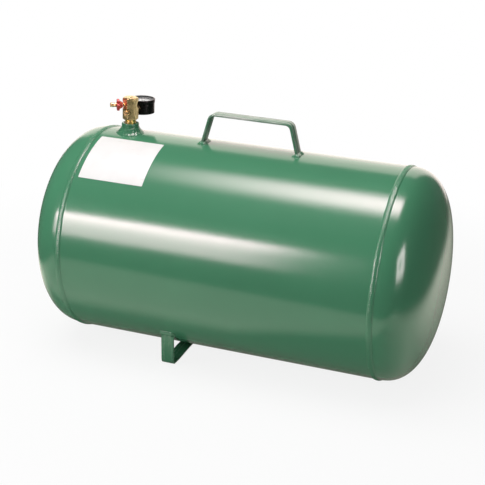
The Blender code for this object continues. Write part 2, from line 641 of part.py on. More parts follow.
def pinion_outline():
    radius = CENTRE_DISTANCE * PINION_TEETH / (PINION_TEETH + SECTOR_TEETH_PER_TURN)
    pitch = 2 * pi / PINION_TEETH
    first = pi / 2 + pitch / 2       # a tooth space faces the sector
    return [tuple(p) for i in range(PINION_TEETH) for p in gear_tooth(radius, first + i * pitch, pitch)]


def sector_outline():
    """Toothed arc, hub and tail of the sector, pivot at the origin, at rest."""
    radius = CENTRE_DISTANCE * SECTOR_TEETH_PER_TURN / (PINION_TEETH + SECTOR_TEETH_PER_TURN)
    pitch = 2 * pi / SECTOR_TEETH_PER_TURN
    rest_tooth = round(radians(SECTOR_TRAVEL / 2) / pitch)
    middle = -pi / 2 - rest_tooth * pitch
    teeth = []
    for i in range(SECTOR_TEETH):
        teeth += gear_tooth(radius, middle + (i - SECTOR_TEETH // 2) * pitch, pitch)
    hub = arc_points((0, 0), 1.5 * MM, -20.0, 60.0, 5)
    tail = arc_points((-6.0 * MM, 1.0 * MM), 0.8 * MM, 90.0, 270.0, 5)
    return [tuple(p) for p in teeth] + hub + [(0.0, 1.5 * MM)] + tail


def build_moving_gauge_parts(frames, mats):
    gear_low, staff_low = GAUGE_HEIGHT - 2.5 * MM, GAUGE_HEIGHT - 5.7 * MM
    sector = add_object("sector_gear", prism(sector_outline(), gear_low, gear_low + 1.0 * MM),
                        mats["brass"], frames["sector"], 30)
    staff = lathe(turned_bar((STAFF_RADIUS, staff_low, GAUGE_HEIGHT + 2.3 * MM)), 12)
    combine(sector, add_cutter("sector_staff", staff, frames["sector"]), "UNION")
    pinion = add_object("pinion_staff", prism(pinion_outline(), gear_low - 0.8 * MM, gear_low + 1.8 * MM),
                        mats["brass"], frames["dial"], 30)
    shaft = lathe(turned_bar((STAFF_RADIUS, staff_low, DIAL_HEIGHT + 2.3 * MM)), 12)
    combine(pinion, add_cutter("pinion_shaft", shaft, frames["dial"]), "UNION")
    link = arc_points((-6.0 * MM, 1.0 * MM), 0.7 * MM, 55.0 - 90.0, 55.0 + 90.0, 5)
    link += arc_points((-12.0 * MM, -3.1 * MM), 0.7 * MM, 125.0, 305.0, 5)
    link_low = gear_low + 1.3 * MM
    add_object("link_rod", prism(link, link_low, link_low + 0.6 * MM), mats["brass"], frames["sector"])
    build_pointer(frames, mats)


def build_pointer(frames, mats):
    """Tapered pointer with a hub and a short tail, at zero pressure."""
    outline = [(-4.6 * MM, -0.9 * MM), (-4.6 * MM, 0.9 * MM)]
    outline += arc_points((0, 0), 1.7 * MM, 150.0, 20.0, 7)
    outline += [(13.4 * MM, 0.15 * MM), (13.4 * MM, -0.15 * MM)]
    outline += arc_points((0, 0), 1.7 * MM, -20.0, -150.0, 7)
    low = DIAL_HEIGHT + 1.1 * MM
    bm = prism(outline, low, low + 0.4 * MM)
    turn_mesh(bm, Matrix.Rotation(radians(ZERO_ANGLE), 4, "Z"))
    pointer = add_object("pointer", bm, mats["black"], frames["dial"])
    bore = lathe(turned_bar((PIVOT_BORE, low - 1 * MM, low + 1 * MM)), 12)
    combine(pointer, add_cutter("pointer_bore", bore, frames["dial"]))


def main():
    clear_scene()
    mats = make_materials()
    frames = make_frames()
    build_heads(frames, mats)
    build_shell(frames, mats)
    build_sheet_pieces(frames, mats)
    clearance = shell_clearance(frames)
    build_boss(frames, mats, clearance)
    build_handle(frames, mats, clearance)
    build_foot(frames, mats, clearance)
    build_valve_body(frames, mats)
    build_relief(frames, mats)
    build_shutoff(frames, mats)
    build_fill_valve(frames, mats)
    build_case(frames, mats)
    build_gauge_socket(frames, mats)
    build_bourdon_tube(frames, mats)
    build_movement(frames, mats)
    build_moving_gauge_parts(frames, mats)


main()
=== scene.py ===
"""Portable air receiver tank: the finished pieces around its frame, their finishes and the studio.

Each piece is shaped about its own axis at the world's origin, in millimetres, and then put in
its place in the tank's own frame: X along the shell, Z towards the handle, origin at the
tank's centre. Sizes that the frame holds are read from it; the rest are fields of the classes.
"""
import json
import logging
from dataclasses import dataclass
from enum import Enum
from math import atan2, copysign, cos, hypot, pi, radians, sin, sqrt, tan
from typing import Any, Callable, ClassVar, Sequence

import bpy
from mathutils import Matrix, Vector, noise

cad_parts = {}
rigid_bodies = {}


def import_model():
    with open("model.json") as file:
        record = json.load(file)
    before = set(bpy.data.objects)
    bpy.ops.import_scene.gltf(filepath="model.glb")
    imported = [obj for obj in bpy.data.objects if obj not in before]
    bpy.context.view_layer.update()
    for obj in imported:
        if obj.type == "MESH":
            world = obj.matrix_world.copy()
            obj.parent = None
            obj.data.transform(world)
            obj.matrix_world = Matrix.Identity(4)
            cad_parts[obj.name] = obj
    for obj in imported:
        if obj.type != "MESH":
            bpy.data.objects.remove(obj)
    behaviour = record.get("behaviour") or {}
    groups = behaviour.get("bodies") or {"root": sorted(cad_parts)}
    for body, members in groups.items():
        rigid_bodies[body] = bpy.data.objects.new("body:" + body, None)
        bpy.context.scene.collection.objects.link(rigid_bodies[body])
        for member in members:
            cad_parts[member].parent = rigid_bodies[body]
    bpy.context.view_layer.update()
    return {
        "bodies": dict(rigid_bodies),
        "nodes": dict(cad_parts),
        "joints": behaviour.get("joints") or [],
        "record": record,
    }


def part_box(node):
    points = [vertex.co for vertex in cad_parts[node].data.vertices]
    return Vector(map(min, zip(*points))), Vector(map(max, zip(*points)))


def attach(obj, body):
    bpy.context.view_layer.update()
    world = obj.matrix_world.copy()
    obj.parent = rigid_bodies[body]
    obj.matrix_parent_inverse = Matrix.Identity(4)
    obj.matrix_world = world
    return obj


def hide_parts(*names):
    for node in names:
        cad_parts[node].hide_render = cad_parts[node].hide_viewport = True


LOG = logging.getLogger("air_receiver")
MM = 0.001
GAP = 0.3                         # millimetres that touching pieces keep in the frame

Color = tuple[float, float, float]
Station = tuple[float, float]
Rule = Callable[[Vector], Vector]
EVEN: Color = (1.0, 1.0, 1.0)


# ---- shader maths
class Wire:
    """One shader socket, or a plain number, that sums and products can be written with."""

    def __init__(self, graph: "Graph", socket: Any) -> None:
        """Keep the graph, which makes the Math nodes, and its socket or number."""
        self.graph = graph
        self.socket = socket

    def math(self, operation: str, *others: Any) -> "Wire":
        """Result of a Math node on this value and the others."""
        made = self.graph.node("ShaderNodeMath", {"operation": operation}, dict(enumerate((self, *others))))
        return Wire(self.graph, made.outputs[0])

    def __add__(self, other: Any) -> "Wire":
        """Sum."""
        return self.math("ADD", other)

    def __sub__(self, other: Any) -> "Wire":
        """Difference."""
        return self.math("SUBTRACT", other)

    def __rsub__(self, other: Any) -> "Wire":
        """Difference with a number in front."""
        return Wire(self.graph, other).math("SUBTRACT", self)

    def __mul__(self, other: Any) -> "Wire":
        """Product."""
        return self.math("MULTIPLY", other)

    __radd__ = __add__
    __rmul__ = __mul__

    def size(self) -> "Wire":
        """Absolute value."""
        return self.math("ABSOLUTE")

    def most(self, other: Any) -> "Wire":
        """Larger of two values."""
        return self.math("MAXIMUM", other)

    def between(self, low: float, high: float) -> "Wire":
        """Smooth step between two values.

        Args:
            low: value where the step is 0.
            high: value where it is 1; it may lie below low.

        Returns:
            The step.
        """
        inputs = {"Value": self, "From Min": low, "From Max": high}
        made = self.graph.node("ShaderNodeMapRange", {"interpolation_type": "SMOOTHSTEP"}, inputs)
        return Wire(self.graph, made.outputs["Result"])


class Graph:
    """Node tree of a material or of the world, with one method that makes any node in it."""

    def __init__(self, owner: Any) -> None:
        """Start from an empty tree.

        Args:
            owner: the material or world that the tree belongs to.
        """
        owner.use_nodes = True
        self.owner = owner
        self.tree = owner.node_tree
        self.tree.nodes.clear()

    def node(self, kind: str, settings: dict[str, Any] | None = None,
             inputs: dict[Any, Any] | None = None) -> bpy.types.Node:
        """Add a node, set it up and feed its sockets.

        Args:
            kind: the node's type.
            settings: the node's own properties, set first.
            inputs: values, sockets or wires by socket name or number.

        Returns:
            The node.
        """
        made = self.tree.nodes.new(kind)
        for key, value in (settings or {}).items():
            setattr(made, key, value)
        for key, value in (inputs or {}).items():
            value = value.socket if isinstance(value, Wire) else value
            if isinstance(value, bpy.types.NodeSocket):
                self.tree.links.new(value, made.inputs[key])
            else:
                made.inputs[key].default_value = value
        return made

    def rays(self, *names: str) -> list[Wire]:
        """Light path outputs, each 1 for one kind of ray."""
        path = self.node("ShaderNodeLightPath").outputs
        return [Wire(self, path[f"Is {name} Ray"]) for name in names]

    def points(self, stretch: Color = EVEN, place: Matrix | None = None) -> Any:
        """Object coordinates, stretched, or measured in a local frame.

        Args:
            stretch: factor along each axis.
            place: the local frame's place in the world.

        Returns:
            The vector socket.
        """
        back = Matrix() if place is None else place.inverted()
        inputs = {"Vector": self.node("ShaderNodeTexCoord").outputs["Object"],
                  "Location": back.to_translation(), "Rotation": back.to_euler(), "Scale": stretch}
        return self.node("ShaderNodeMapping", None, inputs).outputs[0]

    def axes(self, place: Matrix | None = None) -> tuple[Wire, Wire, Wire]:
        """X, Y and Z of a point as three wires, in a local frame if one is given."""
        split = self.node("ShaderNodeSeparateXYZ", None, {0: self.points(place=place)})
        return tuple(Wire(self, socket) for socket in split.outputs)

    def noise(self, scale: float, detail: float = 2.0, stretch: Color = EVEN) -> Wire:
        """Cloudy pattern from 0 to 1, with scale cells for each metre and finer layers in it."""
        inputs = {"Vector": self.points(stretch), "Scale": scale, "Detail": detail, "Roughness": 0.55}
        return Wire(self, self.node("ShaderNodeTexNoise", None, inputs).outputs["Fac"])

    def cells(self, scale: float) -> Wire:
        """Distance, in cells, to the nearest of a scatter of scale points for each metre."""
        inputs = {"Vector": self.points(), "Scale": scale}
        return Wire(self, self.node("ShaderNodeTexVoronoi", None, inputs).outputs["Distance"])

    def mix(self, factor: Any, first: Any, second: Any) -> Any:
        """Blend of two colours, as a socket."""
        first, second = ((*c, 1.0) if isinstance(c, tuple) else c for c in (first, second))
        return self.node("ShaderNodeMix", {"data_type": "RGBA"}, {0: factor, 6: first, 7: second}).outputs[2]

    def bump(self, height: Wire, depth: float, under: Any = None) -> Any:
        """Normal of a surface that a height pattern raises.

        Args:
            height: pattern from 0 to 1.
            depth: metres from 0 to 1 in the pattern.
            under: normal socket of a coarser bump below this one.

        Returns:
            The normal socket.
        """
        inputs = {"Strength": 1.0, "Distance": depth, "Height": height}
        if under is not None:
            inputs["Normal"] = under
        return self.node("ShaderNodeBump", None, inputs).outputs[0]

    def glow(self, strength: Any, color: Any = EVEN) -> Any:
        """Emission of a strength and a colour, as a shader socket."""
        color = (*color, 1.0) if isinstance(color, tuple) else color
        return self.node("ShaderNodeEmission", None, {"Strength": strength, "Color": color}).outputs[0]

    def close(self, shader: Any, output: str = "ShaderNodeOutputMaterial") -> Any:
        """Join a shader to the tree's output and return the owner."""
        self.node(output, None, {"Surface": shader})
        return self.owner


# ---- finishes
@dataclass(frozen=True)
class Stain:
    """Patches of another colour, where a cloudy pattern lies between two levels.

    scale, detail and stretch are the pattern's. amount is how much of the colour a patch
    shows, and rough is what it adds to the roughness. With spots, a scatter of that many
    points for each metre, the patches keep to the spots, whose edges fade over reach.
    """

    scale: float
    low: float
    high: float
    amount: float
    color: Color
    detail: float = 2.0
    stretch: Color = EVEN
    rough: float = 0.0
    spots: float = 0.0
    reach: tuple[float, float] = (0.0, 0.0)

    def mask(self, graph: Graph) -> Wire:
        """Where the stain shows, from 0 to 1."""
        cloud = graph.noise(self.scale, self.detail, self.stretch).between(self.low, self.high)
        return graph.cells(self.spots).between(*self.reach) * cloud if self.spots else cloud


@dataclass(frozen=True)
class Relief:
    """A fine pattern in a surface: its depth in metres and how far it moves the roughness."""

    scale: float
    depth: float
    rough: float = 0.0
    detail: float = 2.0
    stretch: Color = EVEN


@dataclass(frozen=True)
class Finish:
    """A plain painted finish. Subclasses change its stains and its reliefs."""

    name: str
    slot: str
    color: Color
    roughness: float = 0.4
    metallic: float = 0.0
    specular: float = 0.5

    def stains(self) -> tuple[Stain, ...]:
        """Stains, the lowest first: a darker mottle."""
        return (Stain(160.0, 0.35, 0.75, 1.0, tuple(0.8 * part for part in self.color)),)

    def reliefs(self) -> tuple[Relief, ...]:
        """Reliefs, the coarsest first: a fine grain."""
        return (Relief(1400.0, 0.00001, 0.12),)

    def surface(self, graph: Graph) -> dict[str, Any]:
        """Lay the stains and the reliefs over the main colour.

        Args:
            graph: the material's graph.

        Returns:
            Sockets by the shader's input names.
        """
        base, rough, normal = self.color, Wire(graph, self.roughness), None
        for stain in self.stains():
            mask = stain.mask(graph)
            base = graph.mix(mask * stain.amount, base, stain.color)
            if stain.rough:
                rough = rough + mask * stain.rough
        for relief in self.reliefs():
            pattern = graph.noise(relief.scale, relief.detail, relief.stretch)
            if relief.rough:
                rough = rough + (pattern - 0.5) * relief.rough
            if relief.depth:
                normal = graph.bump(pattern, relief.depth, normal)
        return {"Base Color": base, "Roughness": rough, "Normal": normal}

    def make(self) -> bpy.types.Material:
        """Build the material.

        Returns:
            The material.
        """
        graph = Graph(bpy.data.materials.new(self.name))
        inputs = {"Metallic": self.metallic, "Specular IOR Level": self.specular, **self.surface(graph)}
        shader = graph.node("ShaderNodeBsdfPrincipled", None, inputs)
        return graph.close(shader.outputs[0])


@dataclass(frozen=True)
class Enamel(Finish):
    """Sprayed gloss enamel, with its orange peel and the depth of its long ripples."""

    shade: Color = (0.045, 0.185, 0.088)
    dust: Color = (0.22, 0.40, 0.29)
    peel: float = 0.00004
    wave: float = 0.00011

    def stains(self) -> tuple[Stain, ...]:
        """A soft mottle and specks of dust."""
        return (Stain(7.0, 0.3, 0.7, 0.35, self.shade, detail=3.0),
                Stain(40.0, 0.52, 0.7, 0.5, self.dust, spots=260.0, reach=(0.10, 0.05)))

    def reliefs(self) -> tuple[Relief, ...]:
        """Ripples drawn out along the tank, orange peel, and a gloss that varies."""
        return (Relief(34.0, self.wave, stretch=(0.35, 1.0, 1.0)), Relief(420.0, self.peel),
                Relief(90.0, 0.0, 0.08, 3.0))


@dataclass(frozen=True)
class StrapEnamel(Enamel):
    """The same enamel on a bent flat bar, chipped along its edges and worn in streaks."""

    chip: Color = (0.46, 0.48, 0.44)
    place: Matrix | None = None
    half_width: float = 0.008
    across: int = 1
    wear: float = 0.9

    def surface(self, graph: Graph) -> dict[str, Any]:
        """Add chips where a scatter of spots meets the bar's two edges, and worn streaks.

        Args:
            graph: the material's graph.

        Returns:
            Sockets by the shader's input names.
        """
        made = super().surface(graph)
        beside = graph.axes(self.place)[self.across].size()
        edge = beside.between(self.half_width - 0.0014, self.half_width - 0.0002)
        spot = graph.cells(150.0).between(0.28, 0.18) * graph.noise(55.0, 3.0).between(0.56, 0.6)
        along = tuple(1.0 if i == self.across else 0.04 for i in range(3))
        worn = graph.noise(330.0, 3.0, along).between(0.42, 0.68) * self.wear
        chips = (edge * spot).most(worn)
        made["Base Color"] = graph.mix(chips, made["Base Color"], self.chip)
        made["Roughness"] = made["Roughness"] + chips * 0.35
        return made


@dataclass(frozen=True)
class Label(Finish):
    """Blank laminated film."""

    scuff: Color = (0.58, 0.57, 0.55)

    def stains(self) -> tuple[Stain, ...]:
        """A faint tone in the paper and hairline scuffs."""
        return (Stain(22.0, 0.3, 0.8, 0.25, self.scuff, detail=3.0),
                Stain(300.0, 0.66, 0.74, 0.5, self.scuff, detail=3.0, stretch=(0.12, 1.0, 1.0), rough=0.1))

    def reliefs(self) -> tuple[Relief, ...]:
        """Waves in the film and the paper's fibres."""
        return (Relief(60.0, 0.00006), Relief(900.0, 0.000006, 0.06))


@dataclass(frozen=True)
class Metal(Finish):
    """Turned or drawn metal, with its tool marks along the grain."""

    tarnish: Color = (0.30, 0.19, 0.07)
    grime: Color = (0.05, 0.035, 0.02)
    grain: Color = (1.0, 1.0, 0.15)

    def stains(self) -> tuple[Stain, ...]:
        """Patches of tarnish and spots of grime."""
        return (Stain(130.0, 0.38, 0.72, 0.55, self.tarnish, detail=4.0, rough=0.16),
                Stain(210.0, 0.5, 0.62, 0.7, self.grime, spots=620.0, reach=(0.16, 0.08)))

    def reliefs(self) -> tuple[Relief, ...]:
        """A slight unevenness and the tool marks."""
        return (Relief(260.0, 0.00003), Relief(2600.0, 0.000012, 0.14, stretch=self.grain))


@dataclass(frozen=True)
class Plastic(Finish):
    """Moulded or lacquered skin."""

    rubbed: Color = (0.5, 0.5, 0.5)
    dirt: Color = (0.02, 0.01, 0.01)

    def stains(self) -> tuple[Stain, ...]:
        """Rubbed places and dirt."""
        return (Stain(180.0, 0.35, 0.7, 0.3, self.rubbed),
                Stain(420.0, 0.58, 0.7, 0.45, self.dirt, detail=3.0, rough=0.2))

    def reliefs(self) -> tuple[Relief, ...]:
        """A grained skin."""
        return (Relief(1900.0, 0.000016, 0.1),)


@dataclass(frozen=True)
class ClearWindow(Finish):
    """Clear flat window that lets the dial show, with a few hairline scratches."""

    alpha: float = 0.10

    def surface(self, graph: Graph) -> dict[str, Any]:
        """Make the scratches a little less clear.

        Args:
            graph: the material's graph.

        Returns:
            Sockets by the shader's input names.
        """
        hair = graph.noise(1500.0, 2.0, (0.05, 1.0, 1.0)).between(0.68, 0.74)
        return {"Base Color": (*self.color, 1.0), "Alpha": self.alpha + hair * 0.12,
                "Roughness": self.roughness + hair * 0.2}


class Finishes:
    """Every finish of the tank, made once and shared."""

    def __init__(self, space: "TankSpace") -> None:
        """List the finishes and build their materials.

        Args:
            space: the tank's frame, which the foot's finish measures its edges in.
        """
        # green is the enamel's own colour; the second colour is its random mottle, and also the darker copy
        # of the enamel that paints shade on the boss and the handle.
        green, mottle_and_painted_shade = (0.067, 0.245, 0.131), (0.056, 0.210, 0.111)
        jet = (0.015, 0.015, 0.016)
        foot_place = space.place[Axis.TANK] @ Matrix.Translation(space.middle("foot") * MM)
        self.kinds: dict[str, Finish] = {
            "enamel": Enamel("gloss_green_enamel", "green_enamel", green, 0.17, shade=mottle_and_painted_shade),
            "weld": Enamel("enamel_on_weld", "green_enamel", green, 0.16, shade=mottle_and_painted_shade, peel=0.0004,
                           wave=0.0002),
            # Painted shade: the boss and its fillet weld wear a darker copy of the green enamel, standing in
            # for the shade and dark reflections on them.
            "boss": Enamel("boss_enamel_painted_shade", "green_enamel", mottle_and_painted_shade, 0.20, shade=(0.042, 0.160, 0.086),
                           peel=0.0002, wave=0.0005),
            # Painted shade: the handle's base is the darker copy of the green enamel, standing in for the
            # shade on it.
            "handle": StrapEnamel("handle_enamel_painted_shade", "green_enamel", mottle_and_painted_shade, 0.24,
                                  shade=(0.050, 0.165, 0.092), half_width=0.0095),
            "foot": StrapEnamel("foot_enamel", "green_enamel", green, 0.26, shade=mottle_and_painted_shade,
                                place=foot_place, half_width=0.0097, across=0, wear=0.08),
            "label": Label("label_film", "label_film", (0.80, 0.795, 0.78), 0.41),
            "brass": Metal("cast_brass", "brass", (0.80, 0.69, 0.33), 0.26, 1.0,
                           tarnish=(0.52, 0.42, 0.19)),
            "turned": Metal("turned_brass", "brass", (0.78, 0.60, 0.28), 0.22, 1.0),
            "movement": Metal("movement_brass", "movement_brass", (0.76, 0.58, 0.26), 0.26, 1.0),
            "steel": Metal("spring_steel", "spring_steel", (0.56, 0.56, 0.57), 0.28, 1.0,
                           tarnish=(0.34, 0.33, 0.32)),
            "red": Plastic("red_knob", "red_knob", (0.50, 0.035, 0.028), 0.34, rubbed=(0.62, 0.10, 0.07)),
            "black": Plastic("black_lacquer", "black_case", (0.005, 0.005, 0.005), 0.25, specular=0.16,
                             rubbed=(0.012, 0.012, 0.012), dirt=(0.02, 0.018, 0.016)),
            "dial": Finish("dial_paint", "dial_white", (0.84, 0.84, 0.82), 0.5),
            "ink": Finish("dial_ink", "pointer_black", jet, 0.5),
            "pointer": Finish("pointer_paint", "pointer_black", jet, 0.35),
            "window": ClearWindow("clear_window", "gauge_window", (0.92, 0.94, 0.94), 0.04),
            "rubber": Plastic("seal_rubber", "rubber", (0.018, 0.018, 0.018), 0.6, rubbed=(0.05, 0.05, 0.05)),
        }
        self.made = {key: finish.make() for key, finish in self.kinds.items()}


# ---- the tank's frame
class Axis(Enum):
    """Local frames that pieces are shaped in; their Z is the piece's own axis."""

    TANK = "tank"
    SHELL = "shell"
    ACROSS = "across"
    VALVE = "valve"
    SHUTOFF = "shutoff"
    GAUGE_PORT = "gauge_port"
    FILL = "fill"
    DIAL = "dial"


def shift(x: float = 0.0, y: float = 0.0, z: float = 0.0) -> Matrix:
    """Matrix that moves by millimetres."""
    return Matrix.Translation((x * MM, y * MM, z * MM))


class TankSpace:
    """Places of the local frames, and sizes of the frame's nodes measured in them."""

    def __init__(self, frame: dict[str, Any]) -> None:
        """Read the tank's lean and centre, and stand the local frames in it.
        """
        self.nodes = frame["nodes"]
        joints = {joint["name"]: joint for joint in frame["joints"]}
        across = Vector((0.0, 1.0, 0.0))
        up = Vector(joints["relief_lift"]["axis"]).normalized()
        low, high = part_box("shell")
        tank = self.frame_from((low + high) / 2, across.cross(up), across, up)
        self.place: dict[Axis, Matrix] = {Axis.TANK: tank}
        self.place[Axis.SHELL] = tank @ Matrix.Rotation(pi / 2, 4, "Y")
        self.place[Axis.ACROSS] = tank @ Matrix.Rotation(pi / 2, 4, "X")
        valve = self.middle("valve_body").x
        self.place[Axis.VALVE] = tank @ shift(valve)
        dial = self.middle("dial_plate")
        self.place[Axis.DIAL] = tank @ shift(dial.x, dial.y)
        turn = joints["shutoff_turn"]
        outward = Vector(turn["axis"]).normalized()
        self.place[Axis.SHUTOFF] = self.frame_from(Vector(turn["pos_m"]), up.cross(outward), up, outward)
        ports = ((Axis.GAUGE_PORT, "gauge_socket", across), (Axis.FILL, "fill_valve_stem", -across))
        for axis, node, way in ports:
            centre = tank @ (Vector((valve, 0.0, self.middle(node).z)) * MM)
            self.place[axis] = self.frame_from(centre, up.cross(way), up, way)

    @staticmethod
    def frame_from(centre: Vector, x: Vector, y: Vector, z: Vector) -> Matrix:
        """Matrix of a frame from its centre and its three directions."""
        return Matrix.Translation(centre) @ Matrix((x, y, z)).transposed().to_4x4()

    def extent(self, node: str, axis: Axis = Axis.TANK) -> tuple[Vector, Vector]:
        """Box of a node in a local frame.

        Args:
            node: the node's name.
            axis: the local frame.

        Returns:
            Its lowest and highest corner, in millimetres.
        """
        back = self.place[axis].inverted()
        points = [back @ v.co / MM for v in self.nodes[node].data.vertices]
        low, high = (Vector([choose(p[i] for p in points) for i in range(3)]) for choose in (min, max))
        return low, high

    def middle(self, node: str) -> Vector:
        """Centre of a node's box in the tank's frame, in millimetres."""
        low, high = self.extent(node)
        return (low + high) / 2

    def crown(self) -> float:
        """Outer radius of the shell."""
        return self.extent("shell")[1].y

    def between(self, axis: Axis, other: Axis) -> Matrix:
        """Place of one local frame as seen from another."""
        return self.place[other].inverted() @ self.place[axis]


# ---- the modelling bench
def is_loop(stations: Sequence[Station]) -> bool:
    """Whether a profile stays off the axis at both ends, as a sleeve's does."""
    return stations[0][0] > 0.0 and stations[-1][0] > 0.0


class Bench:
    """Shapes one piece with mesh operators about the world's origin, in millimetres."""

    def __init__(self, name: str) -> None:
        """Clear the selection for a new piece.

        Args:
            name: the piece's name.
        """
        self.name = name
        self.item: Any = None
        if bpy.context.object and bpy.context.object.mode != "OBJECT":
            bpy.ops.object.mode_set(mode="OBJECT")
        bpy.ops.object.select_all(action="DESELECT")

    def fix(self) -> "Bench":
        """Put the object's place, turn and scale into its mesh."""
        bpy.ops.object.transform_apply(location=True, rotation=True, scale=True)
        return self

    # -- starting shapes
    def take(self) -> "Bench":
        """Name the object that was just added and put its origin at the world's.

        Returns:
            The bench.
        """
        self.item = bpy.context.object
        self.item.name = self.name
        self.item.data.name = self.name
        return self.fix()

    def block(self, size: Sequence[float], centre: Sequence[float], turn: float = 0.0) -> "Bench":
        """Start with a block.

        Args:
            size: its three sizes.
            centre: its place.
            turn: its turn about Z, at its centre.

        Returns:
            The bench.
        """
        place = [part * MM for part in centre]
        bpy.ops.mesh.primitive_cube_add(size=1.0, location=place, rotation=(0.0, 0.0, turn))
        bpy.context.object.scale = [part * MM for part in size]
        return self.take()

    def grid(self, columns: int, rows: int) -> "Bench":
        """Start with a flat grid from -1 to 1 in X and Y, in millimetres."""
        bpy.ops.mesh.primitive_grid_add(x_subdivisions=columns, y_subdivisions=rows, size=2.0 * MM)
        return self.take()

    # -- edit mode
    def raise_ring(self, before: Station, after: Station) -> None:
        """Extrude the selected ring to the next station; radius 0 closes it.

        Args:
            before: (radius, height) of the ring.
            after: the station it goes to.
        """
        rise = (after[1] - before[1]) * MM
        bpy.ops.mesh.extrude_edges_move(TRANSFORM_OT_translate={"value": (0.0, 0.0, rise)})
        if after[0] == 0.0:
            bpy.ops.mesh.merge(type="CENTER")
        elif after[0] != before[0]:
            factor = after[0] / before[0]
            bpy.ops.transform.resize(value=(factor, factor, 1.0), center_override=(0.0, 0.0, after[1] * MM))

    def turned(self, stations: Sequence[Station], sides: int = 64) -> "Bench":
        """Raise a turned piece ring by ring, joined up if the profile is a loop.

        Args:
            stations: (radius, height) points along the profile.
            sides: number of flats round the piece.

        Returns:
            The bench.
        """
        stations = [*stations, stations[0]] if is_loop(stations) else list(stations)
        pole = stations[0][0] == 0.0
        first = stations[1] if pole else stations[0]
        bpy.ops.mesh.primitive_circle_add(vertices=sides, radius=first[0] * MM, fill_type="NOTHING",
                                          location=(0.0, 0.0, first[1] * MM))
        self.take()
        bpy.ops.object.mode_set(mode="EDIT")
        bpy.ops.mesh.select_mode(type="EDGE")
        bpy.ops.mesh.select_all(action="SELECT")
        if pole:
            self.raise_ring(first, stations.pop(0))
            bpy.ops.mesh.select_all(action="DESELECT")
            bpy.ops.mesh.select_non_manifold()
        for before, after in zip(stations, stations[1:]):
            self.raise_ring(before, after)
        return self.clean()

    def pick(self, kind: str, test: Callable[[Vector, Vector], bool]) -> "Bench":
        """Select faces or edges in code, by centre and by normal or direction.

        Args:
            kind: "FACE" or "EDGE".
            test: takes the centre in millimetres and the face's normal or the edge's direction.

        Returns:
            The bench, in edit mode.
        """
        bpy.ops.object.mode_set(mode="EDIT")
        bpy.ops.mesh.select_mode(type=kind)
        bpy.ops.mesh.select_all(action="DESELECT")
        bpy.ops.object.mode_set(mode="OBJECT")
        mesh = self.item.data
        for part in mesh.polygons if kind == "FACE" else mesh.edges:
            start, end = (mesh.vertices[part.vertices[i]].co for i in (0, 1))
            if kind == "FACE":
                part.select = test(part.center / MM, part.normal)
            else:
                part.select = test((start + end) / 2 / MM, (end - start).normalized())
        bpy.ops.object.mode_set(mode="EDIT")
        return self

    def bevel(self, width: float) -> "Bench":
        """Round the selected edges."""
        bpy.ops.mesh.bevel(offset=width * MM, segments=3, profile=0.5, affect="EDGES")
        return self

    def spin(self, turn: float, centre: Vector, steps: int) -> None:
        """Bend the selected end face round a line along Z."""
        place = (centre.x * MM, centre.y * MM, 0.0)
        bpy.ops.mesh.spin(steps=steps, angle=-turn, center=place, axis=(0.0, 0.0, 1.0))

    def pull(self, x: float, y: float) -> None:
        """Extrude the selected end face."""
        bpy.ops.mesh.extrude_region_move(TRANSFORM_OT_translate={"value": (x * MM, y * MM, 0.0)})

    def clean(self) -> "Bench":
        """Merge doubles, turn the faces outwards and leave edit mode.

        Returns:
            The bench.
        """
        if self.item.mode != "EDIT":
            bpy.ops.object.mode_set(mode="EDIT")
        bpy.ops.mesh.select_all(action="SELECT")
        bpy.ops.mesh.remove_doubles(threshold=0.002 * MM)
        bpy.ops.mesh.normals_make_consistent(inside=False)
        bpy.ops.object.mode_set(mode="OBJECT")
        return self

    # -- object mode
    def reshape(self, rule: Rule) -> "Bench":
        """Move every vertex by a rule.

        Args:
            rule: gives a vertex's new place from its old one, in millimetres.

        Returns:
            The bench.
        """
        for vertex in self.item.data.vertices:
            vertex.co = rule(vertex.co / MM) * MM
        self.item.data.update()
        return self

    def modify(self, kind: str, **settings: Any) -> "Bench":
        """Add a modifier, set it up and apply it.

        Args:
            kind: the modifier's type.
            settings: its properties.

        Returns:
            The bench.
        """
        bpy.context.view_layer.objects.active = self.item
        bpy.ops.object.modifier_add(type=kind)
        modifier = self.item.modifiers[-1]
        for key, value in settings.items():
            setattr(modifier, key, value)
        bpy.ops.object.modifier_apply(modifier=modifier.name)
        return self

    def thicken(self, wall: float) -> "Bench":
        """Give a skin its wall, on the inner side."""
        return self.modify("SOLIDIFY", thickness=wall * MM, offset=-1.0)

    def select(self) -> None:
        """Select this piece alone and make it the active one."""
        bpy.ops.object.select_all(action="DESELECT")
        self.item.select_set(True)
        bpy.context.view_layer.objects.active = self.item

    def combine(self, tool: "Bench", operation: str = "DIFFERENCE") -> "Bench":
        """Cut, join or intersect with another bench's piece, which is used up.

        Args:
            tool: the other bench.
            operation: the Boolean modifier's operation.

        Returns:
            The bench.
        """
        self.select()
        self.modify("BOOLEAN", operation=operation, solver="EXACT", object=tool.item)
        bpy.data.objects.remove(tool.item, do_unlink=True)
        return self

    def move(self, place: Matrix) -> "Bench":
        """Turn and shift the mesh; the object stays at the origin.

        Args:
            place: where the mesh goes.

        Returns:
            The bench.
        """
        self.select()
        self.item.matrix_world = place
        return self.fix()


def rounded(stations: Sequence[Station], radius: float, count: int = 3) -> list[Station]:
    """Round the corners of a turned profile.

    Args:
        stations: corner points.
        radius: largest rounding, which gives way on short stretches.
        count: points on each rounding.

    Returns:
        The profile with each inner corner replaced by an arc.
    """
    points = [Vector(p) for p in stations]
    result: list[Station] = []
    for i, corner in enumerate(points):
        if i in (0, len(points) - 1) and not is_loop(stations):
            result.append(tuple(corner))
            continue
        back, ahead = points[i - 1] - corner, points[(i + 1) % len(points)] - corner
        reach = min(radius, back.length * 0.45, ahead.length * 0.45)
        start, end = (corner + way.normalized() * reach for way in (back, ahead))
        for j in range(count):
            t = j / (count - 1)
            result.append(tuple(start * (1 - t) ** 2 + corner * 2 * t * (1 - t) + end * t ** 2))
    return result


